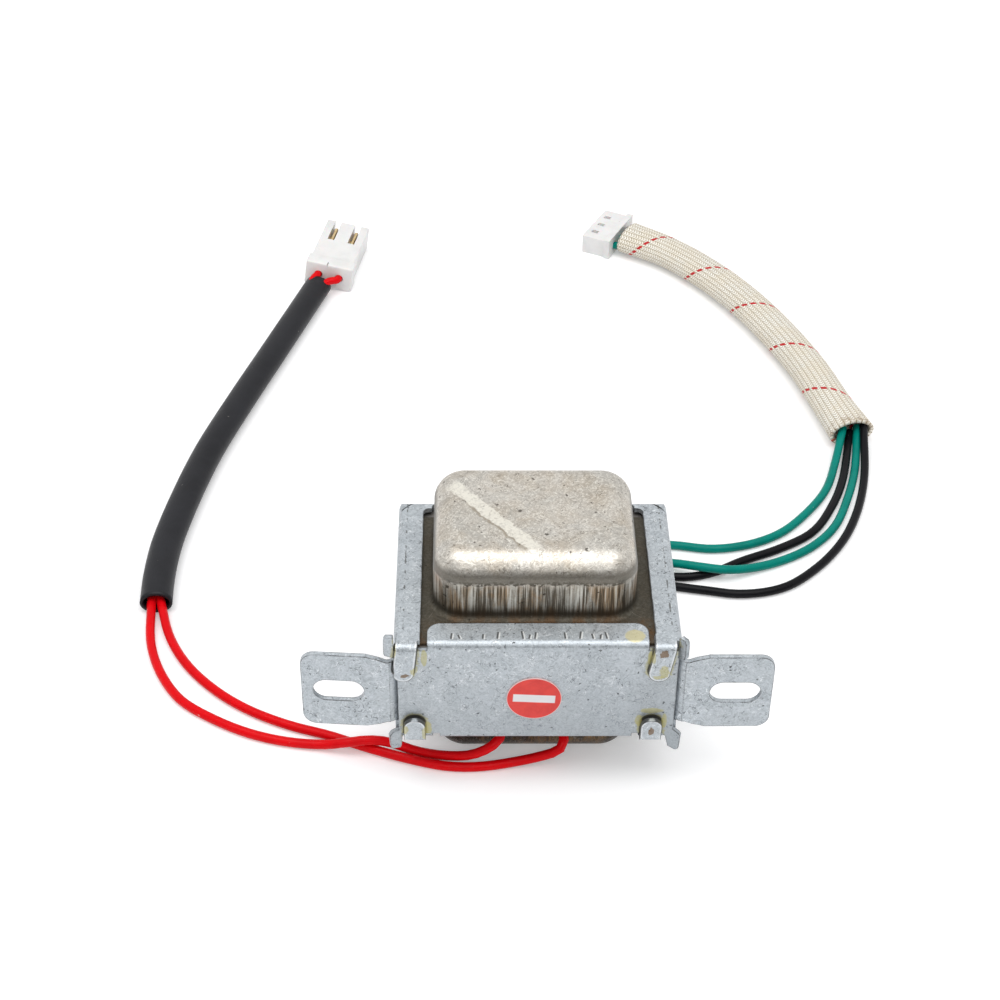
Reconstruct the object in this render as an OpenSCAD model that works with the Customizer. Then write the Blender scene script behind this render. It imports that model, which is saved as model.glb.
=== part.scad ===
// Small laminated mains transformer in a folded channel frame, with two drawn
// covers, six flying leads, two sleeves and two plug housings. Millimetres.
// +X is to the right along the fixing lugs, +Y to the back, +Z up.
// The origin is on the ground under the middle of the frame.

/* [Core] */
// Width of the laminations, across the three limbs
lam_w = 41; // [40:0.5:42]
// Depth of the laminations, E and I together
lam_d = 33; // [32:0.5:34]
// Height of the stack of laminations
stack_h = 17.5; // [16:0.5:20]
// Width of the centre limb
tongue_w = 13; // [12:0.5:14]
// Width of the yokes and of the side limbs
limb_w = 6; // [5.5:0.25:6.5]

/* [Frame] */
// Thickness of the frame's zinc-plated sheet
sheet_t = 0.8; // [0.6:0.1:1]
// Room between the stack and each side wall of the channel
side_gap = 0.6; // [0.4:0.1:0.8]
// Outer radius of the sheet bends over the core
bend_r = 1.1; // [1.1:0.1:1.4]
// Width of the channel's top side lips
top_lip_w = 4; // [3.6:0.1:4.2]
// Width of the channel's bottom side lips
bottom_lip_w = 5.8; // [5.4:0.1:5.9]
// Depth of the back lip beside the cover
back_lip_d = 1.9; // [1.6:0.1:2]
// Depth of the front plate's lips
plate_lip_d = 4.8; // [4:0.1:5]
// Corner radius of the front plate's lips
plate_lip_r = 2; // [1.5:0.1:2.5]

/* [Lugs] */
// Distance between the two fixing slots
slot_pitch = 61; // [60:0.5:63]
// Length of a fixing slot
slot_l = 7.9; // [7:0.1:8.4]
// Width of a fixing slot
slot_w = 4.2; // [3.6:0.1:4.6]
// Height of a lug
lug_h = 14.5; // [13.5:0.1:15.5]
// Metal left outside a slot, to the lug's end
lug_end = 1.75; // [1.2:0.05:2.6]
// Corner radius of a lug
lug_r = 2.2; // [1.5:0.1:2.6]
// Inside radius of the bend that turns a lug outwards
lug_bend_r = 1.2; // [1:0.1:1.4]
// Height of a lug's neck at its bend
lug_neck_h = 12.5; // [11:0.1:13]

/* [Tabs and ears] */
// Width of a folded tab
tab_w = 3.3; // [3:0.1:3.4]
// Length of an upper tab, down the plate
top_tab_l = 7; // [6:0.1:7.5]
// Length of a lower tab, up the plate
bottom_tab_l = 5.2; // [4.6:0.1:5.6]
// Lean of the lower tabs away from the plate, in degrees
tab_lean = 7; // [2:1:10]
// Forward bend of the lower corner ears, in degrees
ear_bend = 20; // [5:1:30]

/* [Covers] */
// Thickness of the covers' sheet
cover_t = 0.5; // [0.4:0.05:0.6]
// Width of the stack left outside a cover's dome on each side
cover_side = 4.8; // [4.6:0.1:5]
// Depth of the stack left outside a cover's dome, front and back shared
cover_end = 3.65; // [3.5:0.05:3.9]
// Height of a dome above the frame's lips
cover_h = 10.3; // [9.5:0.1:11]
// Radius of a dome's top edge
cover_edge_r = 4.2; // [3.5:0.1:4.4]
// Radius of a dome's corners, in plan
cover_corner_r = 4.9; // [4.7:0.1:5.5]
// Radius of the fillet between a dome and its flange
cover_fillet = 1; // [0.6:0.1:1.2]
// How far the domes sit behind the frame's middle
cover_back = 2.2; // [2:0.1:2.4]
// Room between a cover's flange and each side wall of the channel
flange_gap = 0.7; // [0.5:0.05:0.9]

/* [Coil] */
// Wall of the bobbin
bobbin_t = 0.9; // [0.7:0.1:1.1]
// Room for the bobbin in the length of the window
bobbin_play = 2.4; // [2.2:0.1:3]
// How far the bobbin sits behind the middle of the window
bobbin_back = 0.5; // [0.4:0.1:0.6]
// Room between a winding's tape and the side limb beside it
winding_gap = 1.4; // [1.3:0.05:2]
// Thickness of the insulating tape round a winding
tape_t = 0.3; // [0.2:0.05:0.4]

/* [Seal] */
// Diameter of the round seal on the front plate
seal_d = 8.5; // [7:0.1:10]
// Thickness of the seal
seal_t = 0.2; // [0.1:0.05:0.4]

/* [Leads and sleeves] */
// Diameter of a lead over its insulation
lead_d = 1.6; // [1.4:0.05:1.6]
// Diameter of a lead's hole in the lower cover
lead_hole_d = 2.2; // [2.2:0.1:2.6]
// Diameter of the black sleeve
black_sleeve_d = 5; // [4.6:0.1:5]
// Diameter of the braided sleeve
braid_sleeve_d = 7; // [6.6:0.1:7]

/* [Two-way housing] */
// Width of the two-way housing
two_w = 9.4; // [9:0.1:10]
// Length of the two-way housing
two_l = 18; // [17:0.1:18]
// Height of the two-way housing
two_h = 5.6; // [5:0.1:6]
// Pitch of the two-way contacts
two_pitch = 4.5; // [4:0.1:4.7]

/* [Three-way housing] */
// Width of the three-way housing
three_w = 12.4; // [11.6:0.1:13]
// Length of the three-way housing
three_l = 6.6; // [6.2:0.1:7]
// Height of the three-way housing
three_h = 4.2; // [4:0.1:4.6]
// Pitch of the three-way contacts
three_pitch = 3.4; // [3:0.1:3.6]

/* [Hidden] */
$fn = 48;
eps = 0.01;
far = 60;
slide_gap = 0.1;
seat_gap = 0.05;
base_z = cover_h;
frame_w = lam_w + 2 * side_gap + 2 * sheet_t;
frame_d = lam_d + 2 * sheet_t;
frame_h = stack_h + 2 * cover_t + 2 * sheet_t;
half_w = frame_w / 2;
half_d = frame_d / 2;
inner_x = half_w - sheet_t;
inner_y = half_d - sheet_t;
mid_z = frame_h / 2;
top_gap_x = half_w - top_lip_w;
bottom_gap_x = half_w - bottom_lip_w;
lip_clear = 1.1;
plate_half = inner_x + 0.3;
top_span = top_gap_x - lip_clear;
bottom_span = bottom_gap_x - lip_clear;
corner_r = 1.4;
bend_in = max(0.1, bend_r - sheet_t);
lug_x = inner_x + sheet_t + lug_bend_r;
lug_end_x = slot_pitch / 2 + slot_l / 2 + lug_end;
window_l = lam_d - 2 * limb_w;
window_w = (lam_w - tongue_w) / 2 - limb_w;
stack_z = sheet_t + cover_t;
cover_w = lam_w - 2 * cover_side;
cover_d = lam_d - 2 * cover_end;
dome_x = -0.3;
dome_front = cover_back - cover_d / 2;
dome_back = cover_back + cover_d / 2;
flange_front = -inner_y + bend_in + seat_gap;
flange_back = dome_back - 0.9;
lead_z = 5.4;
lead_front_x = [4.6, -5.2];
lead_back_x = [-4.5, -1.5, 1.5, 4.5];
tube_w = tongue_w + 2 * (bobbin_t + slide_gap);
tube_h = stack_h + 2 * (bobbin_t + slide_gap);
bobbin_l = window_l - bobbin_play;
winding_d = window_w - bobbin_t - slide_gap - tape_t - winding_gap;
flange_w = 2 * (inner_x - flange_gap);
section_l = (bobbin_l - 3 * bobbin_t) / 2;
bobbin_y = bobbin_back - bobbin_l / 2;
ear_t = sheet_t;

// Routes of the leads, from the coil to the mouth of their sleeve
red_a_route = [
    [4.6, -9, 5.4], [4.8, -11.8, 5.1], [4.6, -12.9, 4.3], [3.3, -13.2, 3.2],
    [1, -13.2, 2.2], [-3, -13.4, 1.2], [-8.7, -14.1, 0.8], [-14, -14, 0.8],
    [-20, -12.4, 0.8], [-27, -9.8, 0.8], [-33.2, -7.1, 0.8], [-40, -4.7, 0.8],
    [-47, -1.1, 0.8], [-53, 3.6, 0.8], [-58.5, 10, 0.8], [-62.2, 17, 1],
    [-64.2, 23.7, 1.8]];
red_b_route = [
    [-5.2, -9, 5.4], [-5.4, -11.9, 5.3], [-6.4, -13, 4.8], [-8, -13.1, 3.5],
    [-10.4, -12.9, 2.2], [-14.5, -12, 1.2], [-19, -10.7, 0.9], [-23.3, -9.8, 2],
    [-26.6, -9.9, 2.6], [-30, -10, 2.2], [-34, -9.4, 1.1], [-40, -8.5, 0.8],
    [-46.5, -6.5, 0.8], [-53, -3, 0.8], [-58.5, 1.3, 0.8], [-62.7, 8, 0.8],
    [-65.2, 15.5, 0.9], [-66, 23.7, 1.9]];
green_a_route = [
    [-4.5, 9.9, 5.4], [-4.5, 16, 5.2], [-3.2, 22, 3], [2, 31, 1],
    [9, 37.5, 0.8], [17, 41.2, 0.8], [26.4, 41.6, 0.8], [34, 40.5, 0.8],
    [41, 41.8, 0.8], [47, 45, 0.8], [52.5, 50.8, 0.8], [57.3, 58.1, 0.8],
    [60.1, 66, 1.2], [61.9, 72, 2.6]];
green_b_route = [
    [-1.5, 9.9, 5.4], [-1.5, 16, 5.2], [0, 21.5, 3], [4.5, 28, 1],
    [11, 33.6, 0.8], [19, 36.6, 0.8], [26.3, 35.4, 1.7], [30.8, 33.4, 2.6],
    [35.5, 32.9, 2.3], [40.3, 34.6, 1.2], [46, 37, 0.8], [52, 40.8, 0.8],
    [57.2, 46.7, 0.8], [61, 55.4, 0.8], [63.7, 64.3, 0.9], [65.2, 72.9, 2.3]];
black_a_route = [
    [1.5, 9.9, 5.4], [1.5, 16, 5.2], [3, 20.8, 3], [7, 26, 1],
    [13, 30.8, 0.8], [20, 33.2, 0.8], [28.5, 32.6, 0.8], [33.8, 34, 0.8],
    [39, 37, 0.8], [46.4, 40.6, 0.8], [53, 45.3, 0.8], [57.8, 53.2, 0.8],
    [61, 61.5, 0.8], [63.6, 72.5, 1.6]];
black_b_route = [
    [4.5, 9.9, 5.4], [4.5, 16, 5.2], [6, 20, 3], [10, 24.2, 1],
    [16, 28.4, 0.8], [23, 30.3, 0.8], [31, 29.1, 0.8], [38, 28, 0.8],
    [45.5, 29.6, 0.8], [52, 34.7, 0.8], [58, 42.4, 0.8], [62.2, 51.4, 0.8],
    [65.2, 62.2, 1], [66.5, 73.2, 3.3]];
black_sleeve_route = [
    [-65.2, 24, 2.5], [-65.5, 31, 2.5], [-65.2, 40, 2.5], [-63.3, 53.5, 2.5],
    [-60.4, 68, 2.5], [-55.8, 84.5, 2.5], [-50.5, 102.1, 2.5], [-42.9, 127.4, 2.5]];
braid_sleeve_route = [
    [64.2, 73.2, 3.5], [61.8, 82, 3.5], [58.5, 95, 3.5], [53.8, 108, 3.5],
    [48, 120.3, 3.5], [41.5, 130.6, 3.5], [33.5, 139.8, 3.5], [24.1, 146.9, 3.5]];
// The red leads' short ends, from their sleeve to the two-way housing
red_a_stub = [[-43.9, 127.9, 3.5], [-43.8, 128.4, 3.6], [-43.6, 129, 3.7]];
red_b_stub = [[-40.9, 127.4, 3.3], [-40.4, 127.75, 3.4], [-40.1, 127.9, 3.5]];
// Where the plug housings lie, and how they are turned
two_pos = [-39.5, 137.7];
two_turn = -10.6;
two_roll = 8;
three_pos = [20.6, 149];
three_turn = -27;

// A rectangle with round corners, about its centre
module rounded(w, h, r) {
    square([w - 2 * r, h], center = true);
    square([w, h - 2 * r], center = true);
    for (x = [-1, 1], y = [-1, 1])
        translate([x * (w / 2 - r), y * (h / 2 - r)]) circle(r);
}

// A rectangle from x = 0 to w and about y = 0, with its two far corners round
module round_end(w, h, r) {
    translate([0, -h / 2]) square([w - r, h]);
    translate([0, r - h / 2]) square([w, h - 2 * r]);
    for (y = [-1, 1])
        translate([w - r, y * (h / 2 - r)]) circle(r);
}

// A slot with full round ends, about its centre
module slot(l, w) {
    square([l - w, w], center = true);
    for (x = [-1, 1])
        translate([x * (l - w) / 2, 0]) circle(w / 2);
}

// A strip bent through an angle: r inside the bend, t thick, first along +X,
// then turning towards -Y, and a straight leg of length leg after the bend
module bent_strip(r, t, angle, leg) {
    intersection() {
        difference() {
            circle(r + t);
            circle(r);
        }
        polygon([[0, 0], [0, far], [far * sin(angle / 2), far * cos(angle / 2)],
            [far * sin(angle), far * cos(angle)]]);
    }
    rotate(-angle) translate([-eps, r]) square([leg + eps, t]);
}

// Upright slab in the plane of the front, from y0 back to y0 + t
module upright(y0, t) {
    translate([0, y0 + t, 0]) rotate([90, 0, 0]) linear_extrude(t) children();
}

// The block that the channel is folded round, grown by nothing or shrunk by the sheet
module channel_block() {
    intersection() {
        upright(-inner_y, frame_d)
            translate([0, mid_z]) rounded(frame_w, frame_h, bend_r);
        translate([-half_w - eps, 0, 0]) rotate([90, 0, 90])
            linear_extrude(frame_w + 2 * eps)
                translate([-inner_y, mid_z]) round_end(inner_y + half_d, frame_h, bend_r);
        linear_extrude(frame_h)
            translate([0, -inner_y]) rotate(90) round_end(inner_y + half_d, frame_w, corner_r);
    }
}

// Opening between the lips, wider beside the dome where the back lip is cut away
module lip_opening(half_x) {
    back_y = half_d - back_lip_d;
    relief_x = min(half_x - 1, cover_w / 2 + 0.8);
    union() {
        translate([0, -half_d - eps]) rotate(90)
            round_end(back_y + half_d + eps, 2 * half_x, 1);
        translate([0, -half_d - eps]) rotate(90)
            round_end(inner_y - 0.1 + half_d + eps, 2 * relief_x, 0.6);
    }
}

// One lug on the right: the bend, the neck that widens, the flat and its slot
module lug() {
    translate([lug_x, -half_d + sheet_t + lug_bend_r, mid_z - lug_neck_h / 2])
        linear_extrude(lug_neck_h)
            rotate(90) bent_strip(lug_bend_r, sheet_t, -90, 0.5);
    translate([0, 0, mid_z]) upright(-half_d, sheet_t) difference() {
        union() {
            translate([lug_x + 3, 0])
                round_end(lug_end_x - lug_x - 3, lug_h, lug_r);
            polygon([[lug_x - eps, -lug_neck_h / 2], [lug_x + 1.2, -lug_neck_h / 2 - 0.5],
                [lug_x + 3.2, -lug_h / 2], [lug_x + 3.2, lug_h / 2],
                [lug_x + 1.2, lug_neck_h / 2 + 0.5], [lug_x - eps, lug_neck_h / 2]]);
        }
        translate([slot_pitch / 2, 0]) slot(slot_l, slot_w);
    }
}

// A tab folded over the plate, as if at the top: root_x and tip_x are the middles of
// its root and tip, len its reach and lean its angle off the plate
module tab(root_x, tip_x, len, lean) {
    w = tab_w / 2;
    translate([0, -half_d + bend_in, frame_h - sheet_t - bend_in]) intersection() {
        rotate([90, 0, -90]) translate([0, 0, -half_w]) linear_extrude(frame_w) {
            translate([-bend_in - sheet_t - 1, bend_in])
                square([bend_in + sheet_t + 1 + eps, sheet_t]);
            bent_strip(bend_in, sheet_t, 90 - lean, len - bend_in - sheet_t);
        }
        translate([0, -far / 2, 0]) rotate([-90, 0, 0]) linear_extrude(far) {
            polygon([[root_x - w, -bend_r - eps], [root_x + w, -bend_r - eps],
                [tip_x + w, len - bend_r - w], [tip_x - w, len - bend_r - w]]);
            translate([tip_x, len - bend_r - w]) circle(w);
        }
    }
}

// Everything of the frame that is mirrored from top to bottom is built at the top
module at_bottom() {
    translate([0, 0, frame_h]) mirror([0, 0, 1]) children();
}

module channel_frame() {
    color([0.72, 0.75, 0.78]) translate([0, 0, base_z]) {
        difference() {
            union() {
                difference() {
                    channel_block();
                    translate([-inner_x, -half_d - eps, sheet_t])
                        cube([2 * inner_x, half_d + eps + inner_y, frame_h - 2 * sheet_t]);
                    translate([0, 0, frame_h - sheet_t - eps])
                        linear_extrude(sheet_t + 2 * eps) lip_opening(top_gap_x);
                    translate([0, 0, -eps])
                        linear_extrude(sheet_t + 2 * eps) lip_opening(bottom_gap_x);
                }
            }
            // Relief of the side walls at the lugs' bends
            for (x = [-1, 1])
                translate([x * half_w - 1.5, -half_d - 1, mid_z - lug_neck_h / 2 - 0.4])
                    cube([3, 1 + sheet_t + lug_bend_r, lug_neck_h + 0.8]);
            // Mitre seams between the back lip and the side lips
            for (x = [-1, 1], z = [0, 1])
                translate([x * (half_w - corner_r), half_d - corner_r, z * frame_h])
                    rotate(x * 45 + 90) cube([9, 0.16, 0.5], center = true);
        }
        lug();
        mirror([1, 0, 0]) lug();
        tab(2 - half_w, 1.4 - half_w, top_tab_l, 0);
        tab(half_w - 2.5, half_w - 3.4, top_tab_l, 0);
        at_bottom() tab(3 - half_w, 3 - half_w, bottom_tab_l, tab_lean);
        at_bottom() tab(half_w - 4, half_w - 4, bottom_tab_l, tab_lean);
    }
}

// Section of the front plate with a lip at its top: depth against height
module plate_section(h) {
    translate([-half_d, 0]) square([sheet_t, h - bend_r]);
    translate([-half_d + bend_r, h - sheet_t]) square([plate_lip_d - bend_r, sheet_t]);
    translate([-half_d + bend_r, h - bend_r]) intersection() {
        difference() {
            circle(bend_r);
            circle(bend_in);
        }
        translate([-bend_r, 0]) square([bend_r, bend_r]);
    }
}

// The middle of the plate up to one lip, trimmed to the lip's outline
module plate_half_with_lip(span) {
    intersection() {
        translate([-span, 0, 0]) rotate([90, 0, 90]) linear_extrude(2 * span)
            translate([0, mid_z]) plate_section(mid_z);
        translate([0, -half_d, 0]) linear_extrude(frame_h) rotate(90)
            round_end(plate_lip_d, 2 * span, plate_lip_r);
    }
}

// A corner ear on the right of the plate: outline is its shape outside the crease,
// from the crease's first end to its second, and bend turns it forwards
module ear(outline, bend) {
    c0 = outline[0];
    c1 = outline[1];
    translate([c0[0], ear_t - half_d, c0[1]])
        rotate(a = -bend, v = [c1[0] - c0[0], 0, c1[1] - c0[1]])
            translate([-c0[0], 0, -c0[1]])
                upright(-ear_t, ear_t) polygon(outline);
}

module front_plate() {
    // Crease ends first, then round the ear, from the plate's corner
    right_low = [[-0.85, 0.3], [0, 2.2], [1.25, 1.4], [1.5, 1], [1.35, -1.4], [1, -1.7],
        [0.7, -1.75], [-0.4, -1.3]];
    left_low = [[-0.3, 0.7], [0, 2.1], [1.3, 1.7], [1.75, 1.1], [1.6, -1.2], [1.3, -1.5],
        [0.1, -1.6], [-0.1, -1.2]];
    high = [[0.2, -3], [0.2, -1.6], [0.5, -1.2], [0.5, 1.1], [0.7, 1.3], [1.7, 1.3], [2, 0.8],
        [2, -1.9], [1.9, -2.3]];
    edge_z = 1.3;
    color([0.7, 0.73, 0.76]) translate([0, 0, base_z]) {
        plate_half_with_lip(top_span);
        at_bottom() plate_half_with_lip(bottom_span);
        upright(-half_d, sheet_t) {
            translate([-plate_half, edge_z]) square([2 * plate_half, frame_h - 2 * edge_z]);
            // Corners of the plate outside the tabs, up to the ears' creases
            translate([plate_half, 0])
                polygon([[-1.6, 1.2], [-0.85, 0.3], [0, 2.2], [0, 3], [-1.6, 3]]);
            translate([-plate_half, 0])
                polygon([[0.3, 0.7], [0, 2.1], [0, 3], [0.3, 3]]);
            for (x = [-1, 1])
                translate([x * plate_half, frame_h])
                    polygon([[x * 0.2, -3], [x * 0.2, -1.6], [-x * eps, -1.6], [-x * eps, -3]]);
        }
        translate([plate_half, 0, 0]) ear(right_low, ear_bend);
        mirror([1, 0, 0]) translate([plate_half, 0, 0]) ear(left_low, ear_bend);
        translate([plate_half, 0, frame_h]) ear(high, 2.5 * ear_bend);
        mirror([1, 0, 0]) translate([plate_half, 0, frame_h]) ear(high, 0);
    }
}

// Half section of a dome's wall beyond the middle of its corner arcs: r is the corner
// radius, h the height, edge the radius of the top edge and flare that of the foot
module dome_section(r, h, edge, flare) {
    square([r - edge, h]);
    square([r, h - edge]);
    intersection() {
        translate([r - edge, h - edge]) circle(edge);
        square([r, h]);
    }
    if (flare > 0) translate([r, 0]) difference() {
        square([flare, cover_t + flare]);
        translate([flare, cover_t + flare]) circle(flare);
    }
}

// The dome as a solid: one section run along the four sides and round the corners
module dome(w, d, h, r, edge, flare) {
    x = w / 2 - r;
    y = d / 2 - r;
    translate([-x - eps, -y - eps, 0]) cube([2 * x + 2 * eps, 2 * y + 2 * eps, h]);
    for (s = [-1, 1]) {
        translate([s * x, -s * y, 0]) rotate([90, 0, s * 90 - 90]) translate([0, 0, -2 * y])
            linear_extrude(2 * y) dome_section(r, h, edge, flare);
        translate([s * x, s * y, 0]) rotate([90, 0, s * 90]) translate([0, 0, -2 * x])
            linear_extrude(2 * x) dome_section(r, h, edge, flare);
    }
    for (k = [0 : 3]) {
        sx = (k == 0 || k == 3) ? 1 : -1;
        sy = k < 2 ? 1 : -1;
        translate([sx * x, sy * y, 0]) rotate(k * 90) rotate_extrude(angle = 90)
            dome_section(r, h, edge, flare);
    }
}

// A drawn cover with its flange, dome upwards, flange underside at z = 0 and a fillet
// of radius flare at the dome's foot
module cover(flare) {
    rise = cover_t + sheet_t + cover_h;
    translate([dome_x, cover_back, 0]) difference() {
        union() {
            dome(cover_w, cover_d, rise, cover_corner_r, cover_edge_r, flare);
            translate([-flange_w / 2 - dome_x, flange_front - cover_back, 0])
                cube([flange_w, flange_back - flange_front, cover_t]);
        }
        translate([0, 0, -eps])
            dome(cover_w - 2 * cover_t, cover_d - 2 * cover_t, rise - cover_t + eps,
                cover_corner_r - cover_t, cover_edge_r - cover_t, 0);
    }
}

module upper_cover() {
    color([0.66, 0.63, 0.58])
        translate([0, 0, base_z + frame_h - sheet_t - cover_t]) cover(cover_fillet);
}

module lower_cover() {
    color([0.55, 0.5, 0.45]) difference() {
        translate([0, 0, base_z + sheet_t + cover_t]) mirror([0, 0, 1]) cover(0);
        for (x = lead_front_x)
            translate([x, dome_front - 3, lead_z]) rotate([-90, 0, 0])
                cylinder(d = lead_hole_d, h = 3.6);
        for (x = lead_back_x)
            translate([x, dome_back - 2, lead_z - 0.1]) rotate([-90, 0, 0])
                cylinder(d = lead_hole_d, h = 5);
    }
}

// The E-shaped laminations: back yoke, two side limbs and the centre limb
module core_e_stack() {
    color([0.35, 0.33, 0.31]) translate([0, 0, base_z + stack_z]) linear_extrude(stack_h)
        difference() {
            translate([-lam_w / 2, limb_w - lam_d / 2]) square([lam_w, lam_d - limb_w]);
            for (x = [-1, 1])
                translate([x * (tongue_w + window_w) / 2 - window_w / 2, -lam_d / 2])
                    square([window_w, limb_w + window_l]);
        }
}

module core_i_stack() {
    color([0.38, 0.36, 0.34]) translate([0, 0, base_z + stack_z]) linear_extrude(stack_h)
        translate([-lam_w / 2, -lam_d / 2]) square([lam_w, limb_w]);
}

// A ring round the centre limb: w by h outside, iw by ih inside, from y0 for len
module limb_ring(w, h, iw, ih, y0, len, r) {
    translate([0, 0, base_z + mid_z]) upright(y0, len) difference() {
        rounded(w, h, r);
        square([iw, ih], center = true);
    }
}

module bobbin() {
    flange = winding_d + tape_t;
    color([0.9, 0.88, 0.8]) {
        limb_ring(tube_w, tube_h, tongue_w + 2 * slide_gap, stack_h + 2 * slide_gap,
            bobbin_y, bobbin_l, 0.5);
        for (k = [0 : 2])
            limb_ring(tube_w + 2 * flange, tube_h + 2 * flange,
                tongue_w + 2 * slide_gap, stack_h + 2 * slide_gap,
                bobbin_y + k * (section_l + bobbin_t), bobbin_t, 1);
    }
}

module winding(y0) {
    limb_ring(tube_w + 2 * winding_d, tube_h + 2 * winding_d, tube_w, tube_h,
        y0, section_l, 2);
}

module tape(y0) {
    w = tube_w + 2 * winding_d;
    h = tube_h + 2 * winding_d;
    translate([0, 0, base_z + mid_z]) upright(y0, section_l) difference() {
        rounded(w + 2 * tape_t, h + 2 * tape_t, 2 + tape_t);
        rounded(w, h, 2);
    }
}

module primary_winding() {
    color([0.72, 0.35, 0.16]) winding(bobbin_y + bobbin_t);
}

module secondary_winding() {
    color([0.75, 0.38, 0.18]) winding(bobbin_y + 2 * bobbin_t + section_l);
}

module primary_tape() {
    color([0.85, 0.75, 0.3]) tape(bobbin_y + bobbin_t);
}

module secondary_tape() {
    color([0.85, 0.75, 0.3]) tape(bobbin_y + 2 * bobbin_t + section_l);
}

module seal_disc() {
    color([0.75, 0.05, 0.08])
        translate([-0.45, -half_d, base_z + mid_z - 1.1]) rotate([90, 0, 0])
            cylinder(d = seal_d, h = seal_t);
}

function unit(v) = v / norm(v);
function heading(p, i) =
    i == 0 ? unit(p[1] - p[0])
    : i == len(p) - 1 ? unit(p[i] - p[i - 1])
    : unit(unit(p[i + 1] - p[i]) + unit(p[i] - p[i - 1]));
function across(t) = unit(cross(t, [0, 0, 1]));
function ring(p, i, r, n) =
    let (t = heading(p, i), s = across(t), u = cross(s, t))
    [for (k = [0 : n - 1]) p[i] + r * (cos((k + 0.5) * 360 / n) * s
        + sin((k + 0.5) * 360 / n) * u)];

// A round cord swept along a route, n sides
module tube(route, d, n) {
    m = len(route);
    points = [for (i = [0 : m - 1]) each ring(route, i, d / 2, n)];
    sides = [for (i = [0 : m - 2], k = [0 : n - 1])
        [i * n + k, (i + 1) * n + k, (i + 1) * n + (k + 1) % n, i * n + (k + 1) % n]];
    start = [for (k = [0 : n - 1]) k];
    end = [for (k = [0 : n - 1]) m * n - 1 - k];
    polyhedron(points, concat(sides, [start, end]));
}

module red_lead_a() {
    color([0.8, 0.02, 0.03]) {
        tube(red_a_route, lead_d, 8);
        tube(red_a_stub, lead_d, 8);
    }
}

module red_lead_b() {
    color([0.8, 0.02, 0.03]) {
        tube(red_b_route, lead_d, 8);
        tube(red_b_stub, lead_d, 8);
    }
}

module green_lead_a() {
    color([0, 0.42, 0.36]) tube(green_a_route, lead_d, 8);
}

module green_lead_b() {
    color([0, 0.42, 0.36]) tube(green_b_route, lead_d, 8);
}

module black_lead_a() {
    color([0.05, 0.05, 0.06]) tube(black_a_route, lead_d, 8);
}

module black_lead_b() {
    color([0.05, 0.05, 0.06]) tube(black_b_route, lead_d, 8);
}

module black_sleeve() {
    color([0.16, 0.16, 0.18]) tube(black_sleeve_route, black_sleeve_d, 12);
}

module braided_sleeve() {
    color([0.85, 0.82, 0.74]) tube(braid_sleeve_route, braid_sleeve_d, 12);
}

// Puts a housing drawn about its middle, wire end towards -Y, where it lies
module two_way_place() {
    lift = two_w / 2 * sin(two_roll);
    translate([two_pos[0], two_pos[1], lift]) rotate(two_turn) rotate([0, two_roll, 0])
        children();
}

// Housing with three end fingers, two contact cells and a collar at the wire end
module two_way_housing() {
    collar_l = 3.4;
    cell_w = 1.9;
    cell_h = 3.2;
    finger_l = 3.4;
    slot_cut = 2.1;
    color([0.93, 0.93, 0.91]) two_way_place() difference() {
        union() {
            translate([0, -two_l / 2, two_h / 2]) rotate([-90, 0, 0])
                linear_extrude(two_l) rounded(two_w, two_h, 0.5);
            translate([0, -two_l / 2, two_h / 2]) rotate([-90, 0, 0])
                linear_extrude(collar_l) rounded(two_w + 1, two_h, 0.5);
        }
        for (x = [-1, 1]) {
            // Cell for the contact, open at both ends
            translate([x * two_pitch / 2 - cell_w / 2, -two_l / 2 - eps, two_h / 2 - cell_h / 2])
                cube([cell_w, two_l + 2 * eps, cell_h]);
            // Slot between the end fingers
            translate([x * two_pitch / 2 - slot_cut / 2, two_l / 2 - finger_l, -eps])
                cube([slot_cut, finger_l + eps, two_h + 2 * eps]);
            // Window over the contact
            translate([x * two_pitch / 2 - 0.85, two_l / 2 - finger_l - 6.2, two_h / 2])
                cube([1.7, 5.4, two_h]);
        }
    }
}

// Box contacts: a folded box with an open front and a solid crimp behind it
module two_way_contacts() {
    box_l = 7;
    color([0.8, 0.68, 0.42]) two_way_place()
        for (x = [-1, 1])
            translate([x * two_pitch / 2, two_l / 2 - 4, two_h / 2 - 0.2]) {
                difference() {
                    translate([-0.9, -box_l, -1.35]) cube([1.8, box_l, 2.5]);
                    translate([-0.6, -box_l + 1, -1.05]) cube([1.2, box_l, 1.9]);
                }
                translate([-0.6, -box_l - 5, -0.9]) cube([1.2, 5 + eps, 1.5]);
            }
}

module three_way_place() {
    translate([three_pos[0], three_pos[1], 0]) rotate(three_turn) children();
}

// Housing with its wire end towards +X, three cells along Y, a rim and side lugs
module three_way_housing() {
    rim_l = 1.3;
    cell = 1.7;
    color([0.93, 0.93, 0.91]) three_way_place() difference() {
        union() {
            translate([-three_l / 2, -three_w / 2, 0]) cube([three_l, three_w, three_h]);
            translate([three_l / 2 - rim_l, -three_w / 2 - 0.4, 0])
                cube([rim_l, three_w + 0.8, three_h + 0.4]);
            for (y = [-1, 0, 1])
                translate([-three_l / 2 - 0.5, y * three_pitch - 1, 0.6])
                    cube([1, 2, three_h - 1.2]);
            translate([-three_l / 2 + 1.2, three_w / 2 - 0.2, 0.8])
                cube([2.2, 1.2, three_h - 1.6]);
        }
        for (y = [-1, 0, 1]) {
            translate([-three_l / 2 - 1, y * three_pitch - cell / 2, three_h / 2 - cell / 2])
                cube([three_l + 2, cell, cell]);
            translate([-three_l / 2 + 1, y * three_pitch - 0.55, three_h / 2])
                cube([1.5, 1.1, three_h]);
        }
    }
}

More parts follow.
